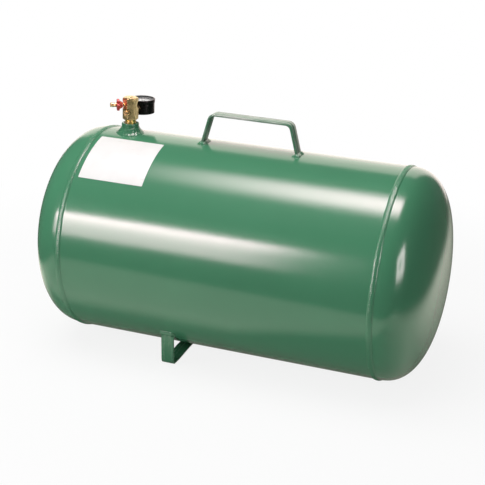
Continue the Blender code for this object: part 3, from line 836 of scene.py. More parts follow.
def threads(radius: float, low: float, high: float, pitch: float, depth: float) -> list[Station]:
    """Profile of a threaded stretch, with flats on crests and roots.

    Args:
        radius: crest radius.
        low: height where the thread starts.
        high: height where it ends.
        pitch: distance between crests.
        depth: crest to root.

    Returns:
        The (radius, height) points.
    """
    count = max(1, round(abs(high - low) / pitch))
    step = (high - low) / count
    shape = ((0.06, depth), (0.40, 0.0), (0.60, 0.0), (0.94, depth))
    return [(radius - drop, low + (i + part) * step) for i in range(count) for part, drop in shape]


def rod(radius: float, low: float, high: float) -> list[Station]:
    """Profile of a plain round rod."""
    return [(0.0, low), (radius, low), (radius, high), (0.0, high)]


def sleeve(inner: float, outer: float, low: float, high: float) -> list[Station]:
    """Closed profile of a plain sleeve."""
    return [(inner, low), (outer, low), (outer, high), (inner, high)]


@dataclass
class Assembly:
    """What every sub-assembly shares: the tank's frame, the finishes and a usual axis."""

    space: TankSpace
    finishes: Finishes
    axis: ClassVar[Axis] = Axis.TANK

    def box(self, node: str, axis: Axis | None = None) -> tuple[Vector, Vector]:
        """Lowest and highest corner of a node along the usual axis or another."""
        return self.space.extent(node, axis or self.axis)

    def dress(self, bench: Bench, finish: str, *nodes: str, axis: Axis | None = None,
              body: str = "tank", smooth: float = 35.0) -> None:
        """Put a shaped piece in its place, finish it and hang it on its body.

        Args:
            bench: the bench that holds the piece.
            finish: key of its finish.
            nodes: nodes of the frame that it stands for.
            axis: the local frame that it was shaped in, if it isn't the usual one.
            body: name of the body it rides on.
            smooth: edges that turn less than this many degrees are shaded smooth.
        """
        piece = bench.move(self.space.place[axis or self.axis]).item
        bpy.ops.object.shade_smooth_by_angle(angle=radians(smooth))
        piece.data.materials.clear()
        piece.data.materials.append(self.finishes.made[finish])
        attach(piece, body)
        if nodes:
            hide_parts(*nodes)
        LOG.info("%s: %d faces, rides on %s", piece.name, len(piece.data.polygons), body)


# ---- pressure vessel
def polar(point: Vector) -> tuple[float, float]:
    """Distance of a point from the Z axis and its angle round it."""
    return hypot(point.x, point.y), atan2(point.y, point.x)


def lumps(angle: float, across: float, size: float, seed: float = 0.0) -> float:
    """Smooth uneven height from a noise field, which closes up round the Z axis."""
    return noise.noise(Vector((size * cos(angle) + seed, size * sin(angle), across)))


def clamped(value: float) -> float:
    """Value kept between 0 and 1."""
    return min(1.0, max(0.0, value))


@dataclass
class Vessel(Assembly):
    """Rolled shell, two pressed heads, girth welds, long seam and the blank label."""

    sides: int = 192
    wall: float = 2.0
    hole_low: float = 120.0
    hole_high: float = 170.0
    head_exponent: float = 2.5
    head_rings: int = 36
    head_wall: float = 1.6
    lip_length: float = 10.0
    bead_parts: tuple[float, ...] = (-1.0, -0.8, -0.5, -0.2, 0.0, 0.2, 0.5, 0.8, 1.0)
    bead_sides: int = 1120
    ripple_pitch: float = 2.6
    ripple_height: float = 0.6
    seam_wall: float = 0.7
    label_corner: float = 1.2
    label_wall: float = 0.16

    def __post_init__(self) -> None:
        """Measure the shell."""
        high = self.box("shell")[1]
        self.radius, self.half = high.y, high.x
        self.seam = self.half + GAP

    def build(self) -> None:
        """Make every piece of the vessel."""
        self.build_shell()
        for side, sign in (("left", -1.0), ("right", 1.0)):
            self.build_head(side, sign)
            self.build_girth_weld(side, sign)
        self.build_long_seam()
        self.build_label()

    def build_shell(self) -> None:
        """Rolled tube with the hole that the boss stands in."""
        inner = self.radius - self.wall
        tube = [(inner, -self.half), (self.radius, -self.half), (self.radius, 0.0),
                (self.radius, self.half), (inner, self.half)]
        shell = Bench("tank_shell").turned(tube, self.sides)
        clear = self.box("valve_boss", Axis.VALVE)[1].x + GAP
        hole = Bench("hole_tool").turned(rod(clear, self.hole_low, self.hole_high))
        hole.move(shift(self.space.middle("valve_boss").x))
        shell.move(Matrix.Rotation(pi / 2, 4, "Y")).combine(hole)
        self.dress(shell, "enamel", "shell")

    def head_curve(self) -> list[Station]:
        """Outer half section of a head.

        Returns:
            Stations from the rim to the crown, along a squared ellipse.
        """
        depth = self.box("right_head")[1].x - self.seam - 0.25
        power = 2.0 / self.head_exponent
        turns = [pi / 2 * (i / self.head_rings) ** 1.15 for i in range(self.head_rings)]
        curve = [(self.radius * cos(t) ** power, depth * sin(t) ** power) for t in turns]
        return curve + [(0.0, depth)]

    def build_head(self, side: str, sign: float) -> None:
        """Pressed head with its joggled lip, turned as a skin and given its wall.

        Args:
            side: "left" or "right".
            sign: direction of the crown along the shell.
        """
        lip = self.radius - self.wall - GAP
        rim = [(lip, -self.lip_length), (lip, -1.2), (self.radius - 0.6, -0.2)]
        head = Bench(f"{side}_pressed_head").turned(rim + self.head_curve(), self.sides)
        if sign < 0:
            head.move(Matrix.Rotation(pi, 4, "Y"))
        head.move(shift(z=sign * self.seam)).thicken(self.head_wall)
        self.dress(head, "enamel", f"{side}_head", axis=Axis.SHELL, smooth=50.0)

    @staticmethod
    def bead_shape(part: float) -> float:
        """Height of a weld bead across its width, part running from -1 to 1."""
        return max(0.0, 1.0 - part * part) ** 0.5

    def build_girth_weld(self, side: str, sign: float) -> None:
        """Bead round the joint of shell and head, with the ripples of its passes.

        Args:
            side: "left" or "right".
            sign: side of the tank along the shell.
        """
        low, high = self.box(f"{side}_girth_weld", Axis.SHELL)
        half_width, height = (high.z - low.z) / 2, high.y - self.radius
        section = [(self.radius + height * self.bead_shape(p), half_width * p) for p in self.bead_parts]
        section += [(self.radius - 0.4, half_width * 0.9), (self.radius - 0.4, -half_width * 0.9)]
        bead = Bench(f"{side}_girth_bead").turned(section, self.bead_sides)
        count = round(2 * pi * self.radius / self.ripple_pitch)

        def ripple(point: Vector) -> Vector:
            """Lower the bead between ripples and let its edges wander.

            Args:
                point: a vertex's place.

            Returns:
                Its new place.
            """
            reach, angle = polar(point)
            across = point.z / half_width
            wave = 0.5 - 0.5 * cos(count * angle + 1.8 * across * across)
            uneven = lumps(angle, sign, 6.0)
            raised = max(0.0, (reach - self.radius) / height)
            factor = 1.0 - raised * (self.ripple_height * wave + 0.125 * (1.0 + uneven)) / reach
            return Vector((point.x * factor, point.y * factor, point.z * (1.0 + 0.12 * uneven)))

        bead.reshape(ripple).move(shift(z=sign * self.seam))
        self.dress(bead, "weld", f"{side}_girth_weld", axis=Axis.SHELL, smooth=60.0)

    def build_long_seam(self) -> None:
        """Low bead along the rolled shell, at the back near the bottom."""
        low, high = self.box("long_seam_weld")
        middle = (low + high) / 2
        angle = atan2(middle.y, middle.z)
        half_width = hypot(high.y - low.y, high.z - low.z) / 2
        height = hypot(middle.y, middle.z) + GAP - self.radius

        def lay(point: Vector) -> Vector:
            """Wrap the strip on the shell and give it its bead and ripples.

            Args:
                point: a vertex's place.

            Returns:
                Its new place.
            """
            wave = 0.5 - 0.5 * cos(2 * pi * point.x * high.x / self.ripple_pitch + point.y * point.y)
            reach = self.radius + height * self.bead_shape(point.y) * (1.0 - 0.18 * wave)
            turn = angle + point.y * half_width / self.radius
            return Vector((point.x * high.x, reach * sin(turn), reach * cos(turn)))

        seam = Bench("long_seam_bead").grid(420, 8).reshape(lay).clean().thicken(self.seam_wall)
        self.dress(seam, "weld", "long_seam_weld", smooth=60.0)

    def build_label(self) -> None:
        """Blank film with rounded corners, wrapped on the shell."""
        low, high = self.box("instruction_label")
        first, last = atan2(-high.y, high.z), atan2(-low.y, low.z)
        reach = hypot(low.y, low.z)
        half_length, half_arc = (high.x - low.x) / 2, (last - first) / 2 * reach
        corner = self.label_corner

        def lay(point: Vector) -> Vector:
            """Round the corners of the sheet, then wrap it.

            Args:
                point: a vertex's place.

            Returns:
                Its new place.
            """
            x, y = point.x * half_length, point.y * half_arc
            over = Vector((max(0.0, abs(x) - half_length + corner), max(0.0, abs(y) - half_arc + corner)))
            if over.x > 0 and over.y > 0:
                over = over.normalized() * max(over)
                x = copysign(half_length - corner + over.x, x)
                y = copysign(half_arc - corner + over.y, y)
            turn = (first + last) / 2 + y / reach
            return Vector(((low.x + high.x) / 2 + x, -reach * sin(turn), reach * cos(turn)))

        label = Bench("blank_label").grid(96, 64).reshape(lay).clean().thicken(self.label_wall)
        self.dress(label, "label", "instruction_label", smooth=40.0)


# ---- boss
@dataclass
class Boss(Assembly):
    """Half coupling that the valve screws into, and its fillet weld."""

    axis: ClassVar[Axis] = Axis.VALVE
    bore: float = 8.8
    rounding: float = 1.6
    weld_stations: tuple[Station, ...] = ((21.2, -0.6), (20.4, 0.7), (18.6, 1.7), (16.9, 3.0), (15.4, 4.8),
                                          (14.3, 6.6), (13.6, 8.2), (13.1, 8.7))
    weld_depth: float = 1.2
    ripples: int = 26

    def build(self) -> None:
        """Make the boss and its weld."""
        low, high = self.box("valve_boss")
        section = rounded(sleeve(self.bore, high.x, low.z, high.z), self.rounding, 6)
        tube = Bench("boss_coupling").turned(section, 96)
        # The boss finish is a darker copy of the green enamel: painted shade.
        self.dress(tube, "boss", "valve_boss")
        self.build_weld(high.x + 0.1)

    def build_weld(self, inner: float) -> None:
        """Fillet that follows the round shell.

        Args:
            inner: its inner radius.
        """
        crown = self.space.crown()
        (outer, _), (_, top) = self.weld_stations[0], self.weld_stations[-1]
        profile = [(r, crown + h) for r, h in self.weld_stations]
        profile += [(inner, crown + top), (inner, crown - self.weld_depth), (outer, crown - self.weld_depth)]

        def saddle(point: Vector) -> Vector:
            """Lower the weld's foot onto the round shell and ripple its face.

            Args:
                point: a vertex's place.

            Returns:
                Its new place.
            """
            reach, angle = polar(point)
            share = clamped((reach - inner) / (outer - inner))
            fall = crown - sqrt(crown * crown - point.y * point.y)
            face = 4.0 * share * (1.0 - share)
            ripple = 0.35 * cos(self.ripples * angle + 5.0 * share)
            bulge = face * (ripple + 0.7 * lumps(angle, reach * 0.2, 3.0))
            out = 1.0 + bulge * 0.6 * min(1.0, face * 2) / reach
            rise = bulge * 0.4 - fall * (0.25 + 0.75 * share)
            return Vector((point.x * out, point.y * out, point.z + rise))

        weld = Bench("boss_fillet").turned(profile, 160).reshape(saddle)
        self.dress(weld, "boss", "boss_weld", smooth=60.0)


# ---- straps
@dataclass
class Strap(Assembly):
    """A flat bar bent along a path, standing in fillet welds on the shell."""

    edge: float = 0.9
    bend_steps: int = 10
    weld_rings: tuple[Station, ...] = ((4.6, -0.4), (4.0, 0.8), (3.0, 2.0), (1.9, 3.0), (0.8, 3.7),
                                       (0.1, 3.8))
    weld_base: float = 10.0
    weld_ripples: int = 18

    def bend_bar(self, name: str, corners: Sequence[Station], radii: Sequence[float],
                 width: float, thickness: float) -> Bench:
        """Draw a flat bar out along a bent path, as flat stretches and spun bends.

        Args:
            name: the piece's name.
            corners: path of the bar's middle, in X and Y.
            radii: bend radius at each inner corner.
            width: the bar's width, along Z.
            thickness: its thickness, across the path.

        Returns:
            The bench with the bent bar.
        """
        path = [Vector(c) for c in corners]
        bends = []
        for before, corner, after, radius in zip(path, path[1:], path[2:], radii):
            back, ahead = (before - corner).normalized(), (after - corner).normalized()
            half = back.angle(ahead) / 2
            centre = corner + (back + ahead).normalized() * (radius / sin(half))
            start, end = (corner + way * (radius / tan(half)) for way in (back, ahead))
            turn = atan2(back.y * ahead.x - back.x * ahead.y, -(back @ ahead))
            bends.append((start, end, centre, turn))
        first = bends[0][0] - path[0]
        middle = (path[0] + bends[0][0]) / 2
        bar = Bench(name).block((first.length, thickness, width), (*middle, 0.0), atan2(first.y, first.x))
        way = first.normalized().to_3d()
        bar.pick("EDGE", lambda centre, along: abs(along @ way) > 0.99).bevel(self.edge)
        bar.pick("FACE", lambda centre, normal: normal @ way > 0.99)
        stops = [bend[0] for bend in bends[1:]] + [path[-1]]
        for (start, end, centre, turn), stop in zip(bends, stops):
            bar.spin(turn, centre, self.bend_steps)
            bar.pull(*(stop - end))
        return bar.clean()

    @staticmethod
    def outline(angle: float, half: Station, offset: float) -> Station:
        """Point on a rounded rectangle at an offset from a bar's section.

        The middle half of each quarter turn goes round a corner, and the rest along the sides.

        Args:
            angle: place round the outline.
            half: half the section along X and along Y.
            offset: distance from the section.

        Returns:
            X and Y of the point.
        """
        corner, part = divmod(angle / (pi / 2), 1.0)
        corner = int(corner) % 4
        sweep = pi / 2 * (corner + clamped(2 * part - 0.5))
        before, after = max(0.0, 1.0 - 4 * part), max(0.0, 4 * part - 3.0)
        if corner % 2:
            before, after = after, before
        x = half[0] * (1.0 - after) * (1 if corner in (0, 3) else -1)
        y = half[1] * (1.0 - before) * (1 if corner in (0, 1) else -1)
        return x + offset * cos(sweep), y + offset * sin(sweep)

    def build_weld(self, name: str, half: Station, place: Matrix, node: str, seed: float) -> None:
        """Weld fillet that a bar's end stands in, lumpy and rippled.

        Args:
            name: the piece's name.
            half: half the bar's section along X and along Y.
            place: turns the crown of the shell to the weld's place.
            node: the frame's node that it stands for.
            seed: shifts the lumps.
        """
        base, shell = self.weld_base, self.space.crown()
        rings = [(base + offset, height) for offset, height in self.weld_rings]
        rings += [(base + 0.1, -1.0), (base + self.weld_rings[0][0], -1.0)]

        def wrap(point: Vector) -> Vector:
            """Take a ring's point to the bar's outline and onto the shell.

            Args:
                point: a vertex's place.

            Returns:
                Its new place.
            """
            reach, angle = polar(point)
            angle, offset = angle % (2 * pi), reach - base
            lump = lumps(angle, 0.3 * offset, 2.6, seed)
            wave = 0.16 * cos(self.weld_ripples * angle + offset)
            face = clamped(offset / 2.0) if point.z > 0 else 0.0
            x, y = self.outline(angle, half, offset * (1.0 + 0.28 * lump * face))
            drop = shell - sqrt(shell * shell - y * y)
            return Vector((x, y, point.z * (1.0 + 0.22 * lump * face) + wave * face - drop))

        weld = Bench(name).turned(rings, 112).reshape(wrap).move(place @ shift(z=shell))
        self.dress(weld, "weld", node, smooth=60.0)


@dataclass
class Handle(Strap):
    """Carrying handle on the crown of the shell."""

    half_base: float = 72.0
    half_top: float = 60.0
    bend: float = 9.0
    thickness: float = 3.4
    foot_lift: float = 0.2
    foot_offset: float = 0.8

    def build(self) -> None:
        """Make the bar and its two welds."""
        low, high = self.box("handle")
        middle, width = (low.x + high.x) / 2, high.y - low.y
        top, base = high.z - self.thickness / 2, self.space.crown() + self.foot_lift
        corners = [(middle - self.half_base, base), (middle - self.half_top, top),
                   (middle + self.half_top, top), (middle + self.half_base, base)]
        bar = self.bend_bar("carrying_handle", corners, (self.bend, self.bend), width, self.thickness)
        # The handle finish is a darker copy of the green enamel: painted shade.
        self.dress(bar, "handle", "handle", axis=Axis.ACROSS)
        for side, sign in (("left", -1.0), ("right", 1.0)):
            spot = middle + sign * (self.half_base - self.foot_offset)
            self.build_weld(f"handle_fillet_{side}", (self.thickness / 2, width / 2), shift(spot),
                            f"handle_weld_{side}", sign * 4.0)


@dataclass
class Foot(Strap):
    """Bent strap under the shell that the tank stands on."""

    thickness: float = 3.2
    half_top: float = 108.5
    half_base: float = 104.0
    top_sink: float = 0.4
    bend: float = 6.0
    small_bend: float = 8.0
    pad: float = 16.0
    arch_half: float = 46.0
    weld_inset: float = 2.6
    weld_reach: float = 4.0

    def build(self) -> None:
        """Make the strap and its two welds."""
        low, high = self.box("foot")
        shell = self.space.crown()
        middle, width = (low.x + high.x) / 2, high.x - low.x
        leg_y = self.half_top - self.thickness / 2
        leg_top = -sqrt(shell * shell - self.half_top ** 2) - self.top_sink
        bottom = low.z + self.thickness / 2
        arch = -(shell + GAP + self.thickness / 2)
        pad_end = self.half_base - self.bend - self.pad
        half = [(leg_y, leg_top), (self.half_base, bottom), (pad_end, bottom), (self.arch_half, arch)]
        corners = [(-y, z) for y, z in half] + half[::-1]
        radii = (self.bend, *[self.small_bend] * 4, self.bend)
        bar = self.bend_bar("foot_strap", corners, radii, width, self.thickness)
        bar.move(shift(middle) @ Matrix.Rotation(pi / 2, 4, "Z") @ Matrix.Rotation(pi / 2, 4, "X"))
        self.dress(bar, "foot", "foot")
        lean = atan2(leg_y, sqrt(shell * shell - leg_y * leg_y))
        for side, sign in (("front", -1.0), ("rear", 1.0)):
            place = shift(middle) @ Matrix.Rotation(pi + sign * lean, 4, "X")
            self.build_weld(f"foot_fillet_{side}", (width / 2 - self.weld_inset, self.weld_reach), place,
                            f"foot_weld_{side}", 7.0 + sign)


# ---- tank valve
def hexagonal_bar(name: str, flats: float, low: float, high: float, edge: float) -> Bench:
    """Six-sided bar with its long edges rounded.

    Args:
        name: the piece's name.
        flats: size across flats.
        low: height of one end.
        high: height of the other.
        edge: width of the rounding.

    Returns:
        The bench with the bar.
    """
    bar = Bench(name).turned(rod(flats / sqrt(3.0), low, high), 6)
    return bar.pick("EDGE", lambda centre, along: abs(along.z) > 0.99).bevel(edge).clean()


@dataclass
class TankValve(Assembly):
    """Hexagonal valve body with its threaded neck and ports, and the relief plug."""

    axis: ClassVar[Axis] = Axis.VALVE
    flats: float = 20.3
    hex_bottom: float = 172.4
    neck_radius: float = 8.4
    neck_pitch: float = 1.81
    neck_depth: float = 1.0
    chamfer: float = 1.8
    port_bore: float = 4.3
    port_floor: float = 4.4
    port_reach: float = 12.0
    countersink: float = 0.8
    recess_radius: float = 4.0
    recess_depth: float = 1.8
    vent: float = 0.9

    def build(self) -> None:
        """Make the body and the plug."""
        low, high = self.box("valve_body")
        body = self.hexagon(high.z).combine(self.neck(low.z), "UNION")
        sides = [self.space.between(axis, Axis.VALVE) for axis in (Axis.SHUTOFF, Axis.GAUGE_PORT, Axis.FILL)]
        sides.append(sides[0] @ Matrix.Rotation(pi, 4, "Y"))
        for side in sides:
            body.combine(self.port().move(side))
        recess = rod(self.recess_radius, high.z - self.recess_depth, high.z + 2.0)
        body.combine(Bench("recess_tool").turned(recess))
        self.dress(body, "brass", "valve_body", smooth=32.0)
        self.build_plug()

    def hexagon(self, top: float) -> Bench:
        """Hexagonal bar with its corners turned off.

        Args:
            top: height of its top face.

        Returns:
            The bench with the bar.
        """
        bottom, half = self.hex_bottom, self.flats / 2
        flat, out = half - 0.5, half + self.chamfer
        turned = [(0.0, bottom - 0.1), (flat, bottom - 0.1), (out, bottom + 1.4), (out, top - 2.4),
                  (half + 0.6, top - 0.9), (flat - 0.6, top + 0.05), (0.0, top + 0.05)]
        bar = hexagonal_bar("valve_hexagon", self.flats, bottom, top, 0.5)
        return bar.combine(Bench("corner_tool").turned(turned, 120), "INTERSECT")

    def neck(self, low: float) -> Bench:
        """Threaded neck that goes down into the boss.

        Args:
            low: height of its lower end.

        Returns:
            The bench with the neck.
        """
        radius, top = self.neck_radius, self.hex_bottom
        profile = [(0.0, low), (radius - 1.6, low)]
        profile += threads(radius, low + 0.6, top - 0.5, self.neck_pitch, self.neck_depth)
        profile += [(radius - 0.9, top + 1.0), (0.0, top + 1.0)]
        return Bench("neck_tool").turned(profile, 72)

    def port(self) -> Bench:
        """Cutter of one side port, with a countersink at the facet.

        Returns:
            The bench with the cutter.
        """
        face, wide = self.flats / 2, self.port_bore + self.countersink
        profile = [(0.0, self.port_floor), (self.port_bore, self.port_floor), (self.port_bore, face - 0.5),
                   (wide, face + 0.3), (wide, self.port_reach), (0.0, self.port_reach)]
        return Bench("port_tool").turned(profile)

    def build_plug(self) -> None:
        """Plug that holds the relief spring down, with its vent hole and staked rim."""
        low, high = self.box("relief_plug")
        corners = [(self.vent, low.z), (high.x, low.z), (high.x, high.z), (2.9, high.z), (2.6, high.z - 0.35),
                   (1.5, high.z - 0.35), (self.vent, high.z - 0.6)]
        plug = Bench("relief_plug_turned").turned(rounded(corners, 0.18))
        self.dress(plug, "turned", "relief_plug")


# ---- shut-off
@dataclass
class ShutOff(Assembly):
    """Gland, red lobed knob and the nut that holds the knob on its spindle."""

    axis: ClassVar[Axis] = Axis.SHUTOFF
    gland_bore: float = 2.1
    gland_tail: Station = (3.4, 6.9)
    gland_face: float = 9.4
    stem: float = 1.7
    stem_end: float = 1.4
    waist: float = 11.0
    shoulder: float = 19.9
    knob_bore: float = 2.0
    rim_back: float = 16.2
    lobes: int = 6
    lobe_depth: float = 2.4
    lobe_root: float = 6.7
    groove: Station = (23.0, 24.6)
    nut_floor: float = 27.4

    def build(self) -> None:
        """Make the gland, the spindle, the knob and the nut."""
        self.build_gland()
        self.build_spindle()
        self.build_knob()
        self.build_nut()

    def build_gland(self) -> None:
        """Gland screwed into the valve's port."""
        low, high = self.box("spindle_gland")
        bore, crest, (tail, end) = self.gland_bore, high.y, self.gland_tail
        gland = [(bore, end), (tail, end), (tail, low.z), (crest, low.z)]
        gland += threads(crest, low.z + 0.4, self.gland_face - 0.2, 0.8, 0.4)
        gland += [(crest, self.gland_face), (crest, high.z), (bore, high.z)]
        self.dress(Bench("threaded_gland").turned(gland), "turned", "spindle_gland")

    def build_spindle(self) -> None:
        """Turned spindle, with the thread for its nut."""
        low, high = self.box("shutoff_spindle")
        profile = [(0.0, low.z), (self.stem - 0.4, low.z), (self.stem, low.z + 0.4), (self.stem, self.waist),
                   (self.stem, self.shoulder), (self.stem_end, self.shoulder)]
        profile += threads(self.stem_end, self.shoulder + 0.3, high.z - 0.4, 0.7, 0.25)
        profile += [(self.stem_end - 0.4, high.z), (0.0, high.z)]
        self.dress(Bench("turned_spindle").turned(profile, 48), "turned", "shutoff_spindle",
                   body="shutoff")

    def build_knob(self) -> None:
        """Lobed rim on a cone-shaped hub, moulded in one."""
        low, high = self.box("shutoff_knob")
        rim, back, front, bore = high.y, self.rim_back, high.z, self.knob_bore
        corners = [(bore, low.z), (3.9, low.z), (4.3, 12.4), (6.1, back - 0.6), (6.6, back), (rim, back),
                   (rim, front), (6.4, front), (5.8, front - 0.7), (3.9, front - 0.7), (3.4, front),
                   (bore, front)]

        def lobe(point: Vector) -> Vector:
            """Draw the rim in between the finger lobes.

            Args:
                point: a vertex's place.

            Returns:
                Its new place.
            """
            reach, angle = polar(point)
            share = clamped((reach - self.lobe_root) / (rim - self.lobe_root))
            hollow = self.lobe_depth * (0.5 - 0.5 * cos(self.lobes * angle)) ** 1.5
            factor = 1.0 - hollow * share / reach
            return Vector((point.x * factor, point.y * factor, point.z))

        knob = Bench("lobed_knob").turned(rounded(corners, 0.9, 5), 144)
        self.dress(knob.reshape(lobe), "red", "shutoff_knob", body="shutoff", smooth=40.0)

    def build_nut(self) -> None:
        """Long round nut with a turned groove and a chamfered end."""
        low, high = self.box("knob_nut")
        out, (start, end) = high.y, self.groove
        corners = [(self.stem, low.z), (out, low.z), (out, start), (out - 0.4, start + 0.4),
                   (out - 0.4, end - 0.4), (out, end), (out, high.z - 0.8), (out - 0.7, high.z),
                   (0.0, high.z)]
        profile = [(0.0, self.nut_floor), (self.stem, self.nut_floor)] + rounded(corners, 0.25)
        self.dress(Bench("chamfered_nut").turned(profile), "turned", "knob_nut", body="shutoff")


# ---- fill valve
@dataclass
class FillValve(Assembly):
    """Threaded stem that a tyre inflator pushes onto."""

    axis: ClassVar[Axis] = Axis.FILL
    pitch: float = 0.8
    depth: float = 0.45
    seat_bore: float = 1.2
    core_bore: float = 2.4
    core_floor: float = 7.4
    collar: Station = (10.0, 10.7)

    def build(self) -> None:
        """Make the stem: the end screwed into the body, a collar, and the inflator's thread."""
        low, high = self.box("fill_valve_stem")
        crest, root, (start, end) = high.y, high.y - self.depth, self.collar
        profile = [(self.seat_bore, low.z), (crest - 0.4, low.z)]
        profile += threads(crest, low.z + 0.2, start - 1.2, self.pitch, self.depth)
        profile += [(root, start - 1.0), (root, start), (crest, start + 0.3), (crest, end)]
        profile += threads(crest, end + 0.2, high.z - 0.6, self.pitch, self.depth)
        profile += [(crest - 0.5, high.z), (self.core_bore + 0.25, high.z), (self.core_bore, high.z - 0.3),
                    (self.core_bore, self.core_floor), (self.seat_bore, self.core_floor)]
        stem = Bench("threaded_fill_stem").turned(profile, 72)
        self.dress(stem, "turned", "fill_valve_stem")


# ---- gauge
@dataclass
class Gauge(Assembly):
    """Pressure gauge: case, bezel, window, dial with its scale, pointer and socket."""

    axis: ClassVar[Axis] = Axis.DIAL
    sides: int = 128
    floor: float = 1.0
    case_wall: float = 0.8
    case_hole: Station = (19.0, 27.0)
    hole_radius: float = 4.3
    lip: float = 16.9
    zero_angle: float = 225.0
    sweep: float = 270.0
    major_count: int = 10
    minor_each: int = 4
    largest: int = 200
    mark_end: float = 15.6
    major_mark: Station = (2.6, 0.34)
    minor_mark: Station = (1.5, 0.16)
    number_radius: float = 11.2
    digit_size: float = 2.5
    ink: float = 0.02
    ink_lift: float = 0.005
    pointer_tail: float = 4.6
    pointer_length: float = 18.0
    pointer_half: Station = (0.95, 0.17)
    socket_flats: float = 11.2
    socket_ends: Station = (10.6, 21.6)
    shank: float = 4.0
    shank_end: float = 24.0
    socket_bore: float = 1.2

    def __post_init__(self) -> None:
        """Measure the height that the middle of the ink lies at."""
        self.print_height = self.box("dial_plate")[1].z + self.ink_lift + self.ink / 2

    def build(self) -> None:
        """Make the gauge's outer pieces, its dial and its pointer."""
        self.build_case()
        self.build_bezel()
        self.build_discs()
        self.build_scale()
        self.build_numbers()
        self.build_pointer()
        self.build_socket()

    def build_case(self) -> None:
        """Deep drawn cup with a rolled lower edge, a bead below its rim and the socket's hole."""
        low, high = self.box("gauge_case")
        radius, inner, floor = high.x, high.x - self.case_wall, low.z + self.floor
        corners = [(0.0, low.z), (radius - 3.0, low.z), (radius - 2.4, low.z + 0.4), (radius, low.z + 0.5),
                   (radius, high.z - 4.3), (radius - 0.35, high.z - 4.0), (radius - 0.35, high.z - 3.5),
                   (radius, high.z - 3.2), (radius, high.z), (inner, high.z), (inner, floor + 0.5),
                   (inner - 0.5, floor), (0.0, floor)]
        case = Bench("drawn_gauge_case").turned(rounded(corners, 0.7, 4), self.sides)
        hole = Bench("hole_tool").turned(rod(self.hole_radius, *self.case_hole), 48)
        hole.move(self.space.between(Axis.GAUGE_PORT, Axis.DIAL))
        self.dress(case.combine(hole), "black", "gauge_case")

    def build_bezel(self) -> None:
        """Ring that holds the window, with a lip turned in over its edge."""
        low, high = self.box("gauge_bezel")
        inner = self.box("gauge_case")[1].x + GAP
        corners = [(inner, low.z), (high.x, low.z), (high.x, high.z - 0.2), (high.x - 0.6, high.z),
                   (self.lip + 0.5, high.z), (self.lip, high.z - 0.2), (self.lip, high.z - 0.6),
                   (inner, high.z - 0.6)]
        bezel = Bench("gauge_bezel_ring").turned(rounded(corners, 0.3), self.sides)
        self.dress(bezel, "black", "gauge_bezel")

    def build_discs(self) -> None:
        """Clear window and dial plate, each with softened edges."""
        low, high = self.box("gauge_window")
        edges = rounded(rod(high.x, low.z, high.z), 0.15)
        self.dress(Bench("clear_gauge_window").turned(edges, self.sides), "window", "gauge_window")
        low, high = self.box("dial_plate")
        edges = rounded(sleeve(0.9, high.x, low.z, high.z), 0.12)
        self.dress(Bench("painted_dial").turned(edges, self.sides), "dial", "dial_plate")

    def build_scale(self) -> None:
        """Scale arc and its marks, printed as thin raised ink."""
        total, height = self.major_count * self.minor_each, self.print_height
        arc = Bench("scale_arc").block((0.2, 0.01, self.ink), (self.mark_end + 0.1, 0.0, height))
        arc.pick("FACE", lambda centre, normal: normal.y > 0.99)
        arc.spin(radians(self.sweep), Vector((0.0, 0.0)), 90)
        arc.clean().move(Matrix.Rotation(radians(self.zero_angle - self.sweep), 4, "Z"))
        printed = [arc.item]
        for i in range(total + 1):
            length, width = self.minor_mark if i % self.minor_each else self.major_mark
            middle = self.mark_end - length / 2
            mark = Bench("scale_mark").block((length, width, self.ink), (middle, 0.0, height))
            angle = radians(self.zero_angle - self.sweep * i / total)
            printed.append(mark.move(Matrix.Rotation(angle, 4, "Z")).item)
        self.dress(self.join("dial_scale", printed), "ink")

    def build_numbers(self) -> None:
        """Numbers round the scale, printed upright, at every second long mark."""
        digits = []
        for i in range(0, self.major_count + 1, 2):
            angle = radians(self.zero_angle - self.sweep * i / self.major_count)
            x, y = self.number_radius * cos(angle), self.number_radius * sin(angle)
            number = str(self.largest * i // self.major_count)
            digits.append(self.word(number, shift(x, y, self.print_height)))
        self.dress(self.join("dial_numbers", digits), "ink")

    def word(self, text: str, place: Matrix) -> bpy.types.Object:
        """Print a number as a thin solid.

        Args:
            text: the number.
            place: where its middle goes on the dial.

        Returns:
            The printed number.
        """
        bench = Bench("digits")
        bpy.ops.object.text_add(location=(0.0, 0.0, 0.0))
        data = bpy.context.object.data
        data.body = text
        data.size = self.digit_size * MM
        data.align_x = data.align_y = "CENTER"
        data.extrude = self.ink / 2 * MM
        data.resolution_u = 6
        bpy.ops.object.convert(target="MESH")
        return bench.take().move(place).item

    @staticmethod
    def join(name: str, items: Sequence[bpy.types.Object]) -> Bench:
        """Join several printed marks into one piece.

        Args:
            name: the piece's name.
            items: the marks.

        Returns:
            The bench with the joined piece.
        """
        bench = Bench(name)
        for item in items:
            item.select_set(True)
        bpy.context.view_layer.objects.active = items[0]
        bpy.ops.object.join()
        return bench.take()

    def build_pointer(self) -> None:
        """Tapered pointer with a domed hub and a counterweight tail."""
        low, high = self.box("pointer")
        length, tail, (wide, narrow) = self.pointer_length, self.pointer_tail, self.pointer_half
        size, centre = (length, 2.0, high.z - low.z - 0.1), (length / 2 - tail, 0.0, (low.z + high.z) / 2)

        def taper(point: Vector) -> Vector:
            """Narrow the blade towards its tip and widen its tail."""
            share = (point.x + tail) / length
            return Vector((point.x, copysign(wide * (1.0 - share) + narrow * share, point.y), point.z))

        blade = Bench("tapered_pointer").block(size, centre).reshape(taper)
        hub = [(0.0, low.z), (1.7, low.z), (1.7, high.z - 0.1), (1.2, high.z), (0.0, high.z)]
        blade.combine(Bench("hub_tool").turned(hub, 48), "UNION")
        blade.combine(Bench("bore_tool").turned(rod(0.6, low.z - 1, high.z + 1), 32))
        blade.move(Matrix.Rotation(radians(self.zero_angle), 4, "Z"))
        self.dress(blade, "pointer", "pointer", body="pointer")

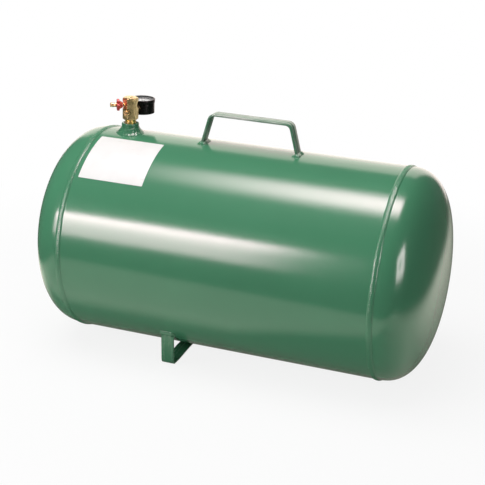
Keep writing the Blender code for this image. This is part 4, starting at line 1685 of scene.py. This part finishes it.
    def build_socket(self) -> None:
        """Wrench flats of the gauge's socket, with its threaded shank."""
        low, high = self.box("gauge_socket", Axis.GAUGE_PORT)
        (start, end), shank, tip = self.socket_ends, self.shank, self.shank_end
        bar = hexagonal_bar("hexagonal_socket", self.socket_flats, start, end, 0.3)
        flat, out = self.socket_flats / 2 - 0.2, self.socket_flats / 2 + 1.0
        turned = [(0.0, start - 0.1), (flat, start - 0.1), (out, start + 0.7), (out, end - 0.7),
                  (flat, end + 0.1), (0.0, end + 0.1)]
        bar.move(Matrix.Rotation(pi / 6, 4, "Z"))
        bar.combine(Bench("corner_tool").turned(turned, 96), "INTERSECT")
        profile = [(0.0, low.z), (shank - 0.5, low.z)] + threads(shank, low.z + 0.3, start - 0.3, 0.94, 0.5)
        profile += [(shank - 0.5, start), (shank - 0.5, start + 1.4), (shank, start + 1.4), (shank, tip),
                    (shank - 0.6, tip), (shank - 0.6, high.z), (0.0, high.z)]
        bar.combine(Bench("shank_tool").turned(profile), "UNION")
        bar.combine(Bench("bore_tool").turned(rod(self.socket_bore, low.z - 1.0, tip + 1.0), 32))
        self.dress(bar, "turned", "gauge_socket", axis=Axis.GAUGE_PORT, smooth=32.0)


# ---- inner pieces
@dataclass
class InnerPieces(Assembly):
    """Pieces inside the valves and the gauge that keep the frame's own shape."""

    def build(self) -> None:
        """Give each of them its finish."""
        groups = {
            "steel": ("relief_spring", "relief_ball", "valve_core_spring"),
            "turned": ("valve_core_barrel", "valve_core_pin"),
            "rubber": ("spindle_o_ring", "seat_disc", "valve_core_seal"),
            "movement": ("bourdon_tube", "movement_back_plate", "movement_front_plate",
                         "movement_pillar_left", "movement_pillar_right", "sector_gear",
                         "pinion_staff", "link_rod"),
        }
        for finish, names in groups.items():
            for name in names:
                for slot in self.space.nodes[name].material_slots:
                    slot.material = self.finishes.made[finish]
                LOG.info("%s keeps its shape and is finished in %s", name, finish)


# ---- studio
@dataclass(frozen=True)
class Panel:
    """A flat glowing panel that shows only in reflections.

    corner and the two sides are in metres. The glow goes from the first strength to the
    second along the rise, by its fourth power, and fades out towards the four edges: start and
    end of the side, start and end of the rise, each as a share of the length. hollow is the
    share of the glow that is missing in the panel's middle.
    """

    name: str
    corner: Color
    side: Color
    rise: Color
    first: float
    second: float
    fades: tuple[float, float, float, float]
    tint: Color = (1.0, 0.74, 0.82)
    hollow: float = 0.0


@dataclass
class Studio:
    """Pale floor, white surroundings, soft lamps and panels, and the camera."""

    floor_half: float = 9.0
    floor_color: float = 0.82
    bounce_color: float = 0.75
    near_share: float = 0.86
    white: float = 1.0
    ambient: float = 0.29
    room_glow: float = 0.10
    room_radius: float = 4.0
    sheet_glow: float = 1.40
    sheet_tint: Color = (1.0, 0.97, 0.84)
    shade_glow: float = 0.14
    sheet_edge: Color = (-0.418, -0.52, 0.1853)
    sheet_left: Station = (-0.60, -0.50)
    sheet_right: float = 0.60
    aim: Color = (-0.0046, 0.0, 0.1653)
    azimuth: float = 19.783
    elevation: float = 20.123
    roll: float = 1.448
    distance: float = 1.7680
    lens: float = 89.13
    sensor: float = 36.0

    def build(self) -> None:
        """Set up everything around the tank."""
        bpy.context.scene.view_settings.view_transform = "Standard"
        self.build_camera()
        self.build_world()
        self.build_floor()
        self.build_room()
        for panel in self.panels():
            self.build_panel(panel)
        self.lamp("overhead_lamp", (-0.4, -0.3, 2.0), 1.6, 31.0)
        self.lamp("front_lamp", (-1.7, -1.7, 1.2), 1.3, 16.0)

    def build_camera(self) -> None:
        """Camera level with a small roll, aimed just above the tank's axis."""
        data = bpy.data.cameras.new("camera")
        data.lens, data.sensor_width = self.lens, self.sensor
        camera = bpy.data.objects.new("camera", data)
        a, e = radians(self.azimuth), radians(self.elevation)
        back = Vector((sin(a) * cos(e), -cos(a) * cos(e), sin(e)))
        turn = back.to_track_quat("Z", "Y").to_matrix().to_4x4() @ Matrix.Rotation(radians(self.roll), 4, "Z")
        camera.matrix_world = Matrix.Translation(Vector(self.aim) + back * self.distance) @ turn
        bpy.context.scene.collection.objects.link(camera)
        bpy.context.scene.camera = camera

    def build_world(self) -> None:
        """White surroundings, and a plain grey fill for the light on the tank."""
        graph = Graph(bpy.data.worlds.new("surroundings"))
        camera, gloss, clear = graph.rays("Camera", "Glossy", "Transmission")
        strength = camera.most(gloss).most(clear) * (self.white - self.ambient) + self.ambient
        shader = graph.node("ShaderNodeBackground", None, {"Color": (*EVEN, 1.0), "Strength": strength})
        bpy.context.scene.world = graph.close(shader.outputs[0], "ShaderNodeOutputWorld")

    def sheet(self, x: Wire, y: Wire) -> Wire:
        """How brightly the floor shows in reflections.

        The pale sheet ends in front of the tank and to its right, and the tank shades
        the part of it that it stands over.

        Args:
            x: place along the tank.
            y: place across it.

        Returns:
            The strength of the glow.
        """
        edge_x, edge_y, slope = self.sheet_edge
        front = (y - (x - edge_x) * slope - edge_y).between(-0.05, 0.03) * x.between(*self.sheet_left)
        right = (x + y.most(0.0) * 0.2).between(self.sheet_right + 0.08, self.sheet_right - 0.08)
        along = x.between(0.50, 0.18) * x.between(-0.46, -0.30)
        shade = (y + x.most(0.0) * 0.45).between(-0.18, -0.12) * along
        core = shade * y.between(-0.06, 0.02)
        lit = (1.0 - shade * (1.0 - self.shade_glow)) * (1.0 - core * 0.8) * self.sheet_glow
        return front * right * (lit - self.room_glow) + self.room_glow

    @staticmethod
    def added(name: str, material: bpy.types.Material) -> bpy.types.Object:
        """Name and finish the object that was just added.

        Args:
            name: its name.
            material: its finish.

        Returns:
            The object.
        """
        item = bpy.context.object
        item.name = name
        item.data.materials.append(material)
        return item

    def build_floor(self) -> None:
        """Pale floor that keeps the tank's shadow and turns to plain white further off."""
        graph = Graph(bpy.data.materials.new("pale_floor"))
        gloss, camera = graph.rays("Glossy", "Camera")
        x, y, _ = graph.axes()
        tone = camera * (self.floor_color - self.bounce_color) + self.bounce_color
        color = graph.node("ShaderNodeCombineColor", None, {0: tone, 1: tone, 2: tone})
        paint = graph.node("ShaderNodeBsdfDiffuse", None, {"Color": color.outputs[0]})
        light = graph.glow(gloss * (self.sheet(x, y) - self.white) + self.white,
                           graph.mix(gloss, EVEN, self.sheet_tint))
        far = (x * x + y * y).between(0.10, 0.85)
        share = gloss.most(camera * (far * (1.0 - self.near_share) + self.near_share))
        mixed = graph.node("ShaderNodeMixShader", None, {0: share, 1: paint.outputs[0], 2: light})
        bpy.ops.object.select_all(action="DESELECT")
        bpy.ops.mesh.primitive_plane_add(size=2 * self.floor_half)
        floor = self.added("floor_sheet", graph.close(mixed.outputs[0]))

    @staticmethod
    def show_to_gloss(item: bpy.types.Object) -> None:
        """Keep a staged object out of everything but reflections.

        Args:
            item: the object.
        """
        for ray in ("camera", "diffuse", "shadow", "transmission", "volume_scatter"):
            setattr(item, f"visible_{ray}", False)

    def build_room(self) -> None:
        """Dim room all round the tank, which only the reflections see."""
        graph = Graph(bpy.data.materials.new("dim_room"))
        tone = graph.noise(0.8, 1.0).between(0.3, 0.7) * 0.5 + 0.75
        bpy.ops.object.select_all(action="DESELECT")
        bpy.ops.mesh.primitive_uv_sphere_add(segments=48, ring_count=24, radius=self.room_radius)
        self.show_to_gloss(self.added("dim_room", graph.close(graph.glow(tone * self.room_glow))))

    @staticmethod
    def panels() -> list[Panel]:
        """List the panels round the tank.

        Returns:
            Soft boxes in front, overhead and to the right, and the pale backdrop.
        """
        return [
            Panel("front_soft_box", (-1.45, -1.45, 0.22), (1.26, 0.0, 0.0), (0.0, 0.0, 0.80), 11.8, 62.0,
                  (0.2, 0.2, 0.18, 0.18)),
            Panel("overhead_soft_box", (-0.88, 0.43, 1.66), (1.53, 0.0, 0.0), (0.0, -0.92, 0.0), 22.0, 22.0,
                  (0.6, 0.10, 0.41, 0.46)),
            Panel("right_soft_box", (1.40, -1.08, 0.16), (0.0, 0.74, 0.0), (0.0, 0.0, 0.88), 15.0, 19.0,
                  (0.2, 0.2, 0.35, 0.25), (1.0, 0.84, 0.88), 0.7),
            Panel("backdrop", (-1.40, 1.20, 0.0), (1.90, 0.0, 0.0), (0.0, 0.0, 1.27), 1.85, 1.85,
                  (0.1, 0.1, 0.0, 0.12), (1.0, 0.86, 0.82)),
        ]

    def build_panel(self, panel: Panel) -> None:
        """Make one glowing panel.

        Args:
            panel: its place, size and glow.
        """
        graph = Graph(bpy.data.materials.new(panel.name))
        corner, side, rise = Vector(panel.corner), Vector(panel.side), Vector(panel.rise)
        turn = TankSpace.frame_from(corner, side.normalized(), rise.normalized(),
                                    side.cross(rise).normalized())
        u, v, _ = graph.axes(turn)
        u, v = u * (1.0 / side.length), v * (1.0 / rise.length)
        strength = v.math("POWER", 4.0) * (panel.second - panel.first) + panel.first
        for part, fade in zip((u, 1.0 - u, v, 1.0 - v), panel.fades):
            if fade:
                strength = strength * part.between(0.0, fade)
        if panel.hollow:
            reach = (u - 0.5) * (u - 0.5) + (v - 0.5) * (v - 0.5)
            strength = strength * (1.0 - reach.between(0.06, 0.0) * panel.hollow)
        bpy.ops.object.select_all(action="DESELECT")
        bpy.ops.mesh.primitive_plane_add(size=1.0)
        item = self.added(panel.name, graph.close(graph.glow(strength, panel.tint)))
        for vertex in item.data.vertices:
            vertex.co = corner + side * (vertex.co.x > 0) + rise * (vertex.co.y > 0)
        self.show_to_gloss(item)

    def lamp(self, name: str, spot: Color, size: float, power: float) -> None:
        """Add a square lamp that points at the tank and stays out of reflections.

        Args:
            name: its name.
            spot: its place, in metres.
            size: its side.
            power: its power in watts.
        """
        data = bpy.data.lights.new(name, "AREA")
        data.size, data.energy = size, power
        lamp = bpy.data.objects.new(name, data)
        lamp.location = spot
        lamp.rotation_euler = (Vector(self.aim) - Vector(spot)).to_track_quat("-Z", "Y").to_euler()
        lamp.visible_glossy = False
        bpy.context.scene.collection.objects.link(lamp)


def main() -> None:
    """Build the tank's pieces in order, then the studio."""
    logging.basicConfig(level=logging.INFO, format="%(message)s")
    for item in list(bpy.data.objects):
        bpy.data.objects.remove(item, do_unlink=True)
    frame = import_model()
    space = TankSpace(frame)
    finishes = Finishes(space)
    for kind in (Vessel, Boss, Handle, Foot, TankValve, ShutOff, FillValve, Gauge, InnerPieces):
        kind(space, finishes).build()
    Studio().build()


if __name__ == "__main__":
    main()
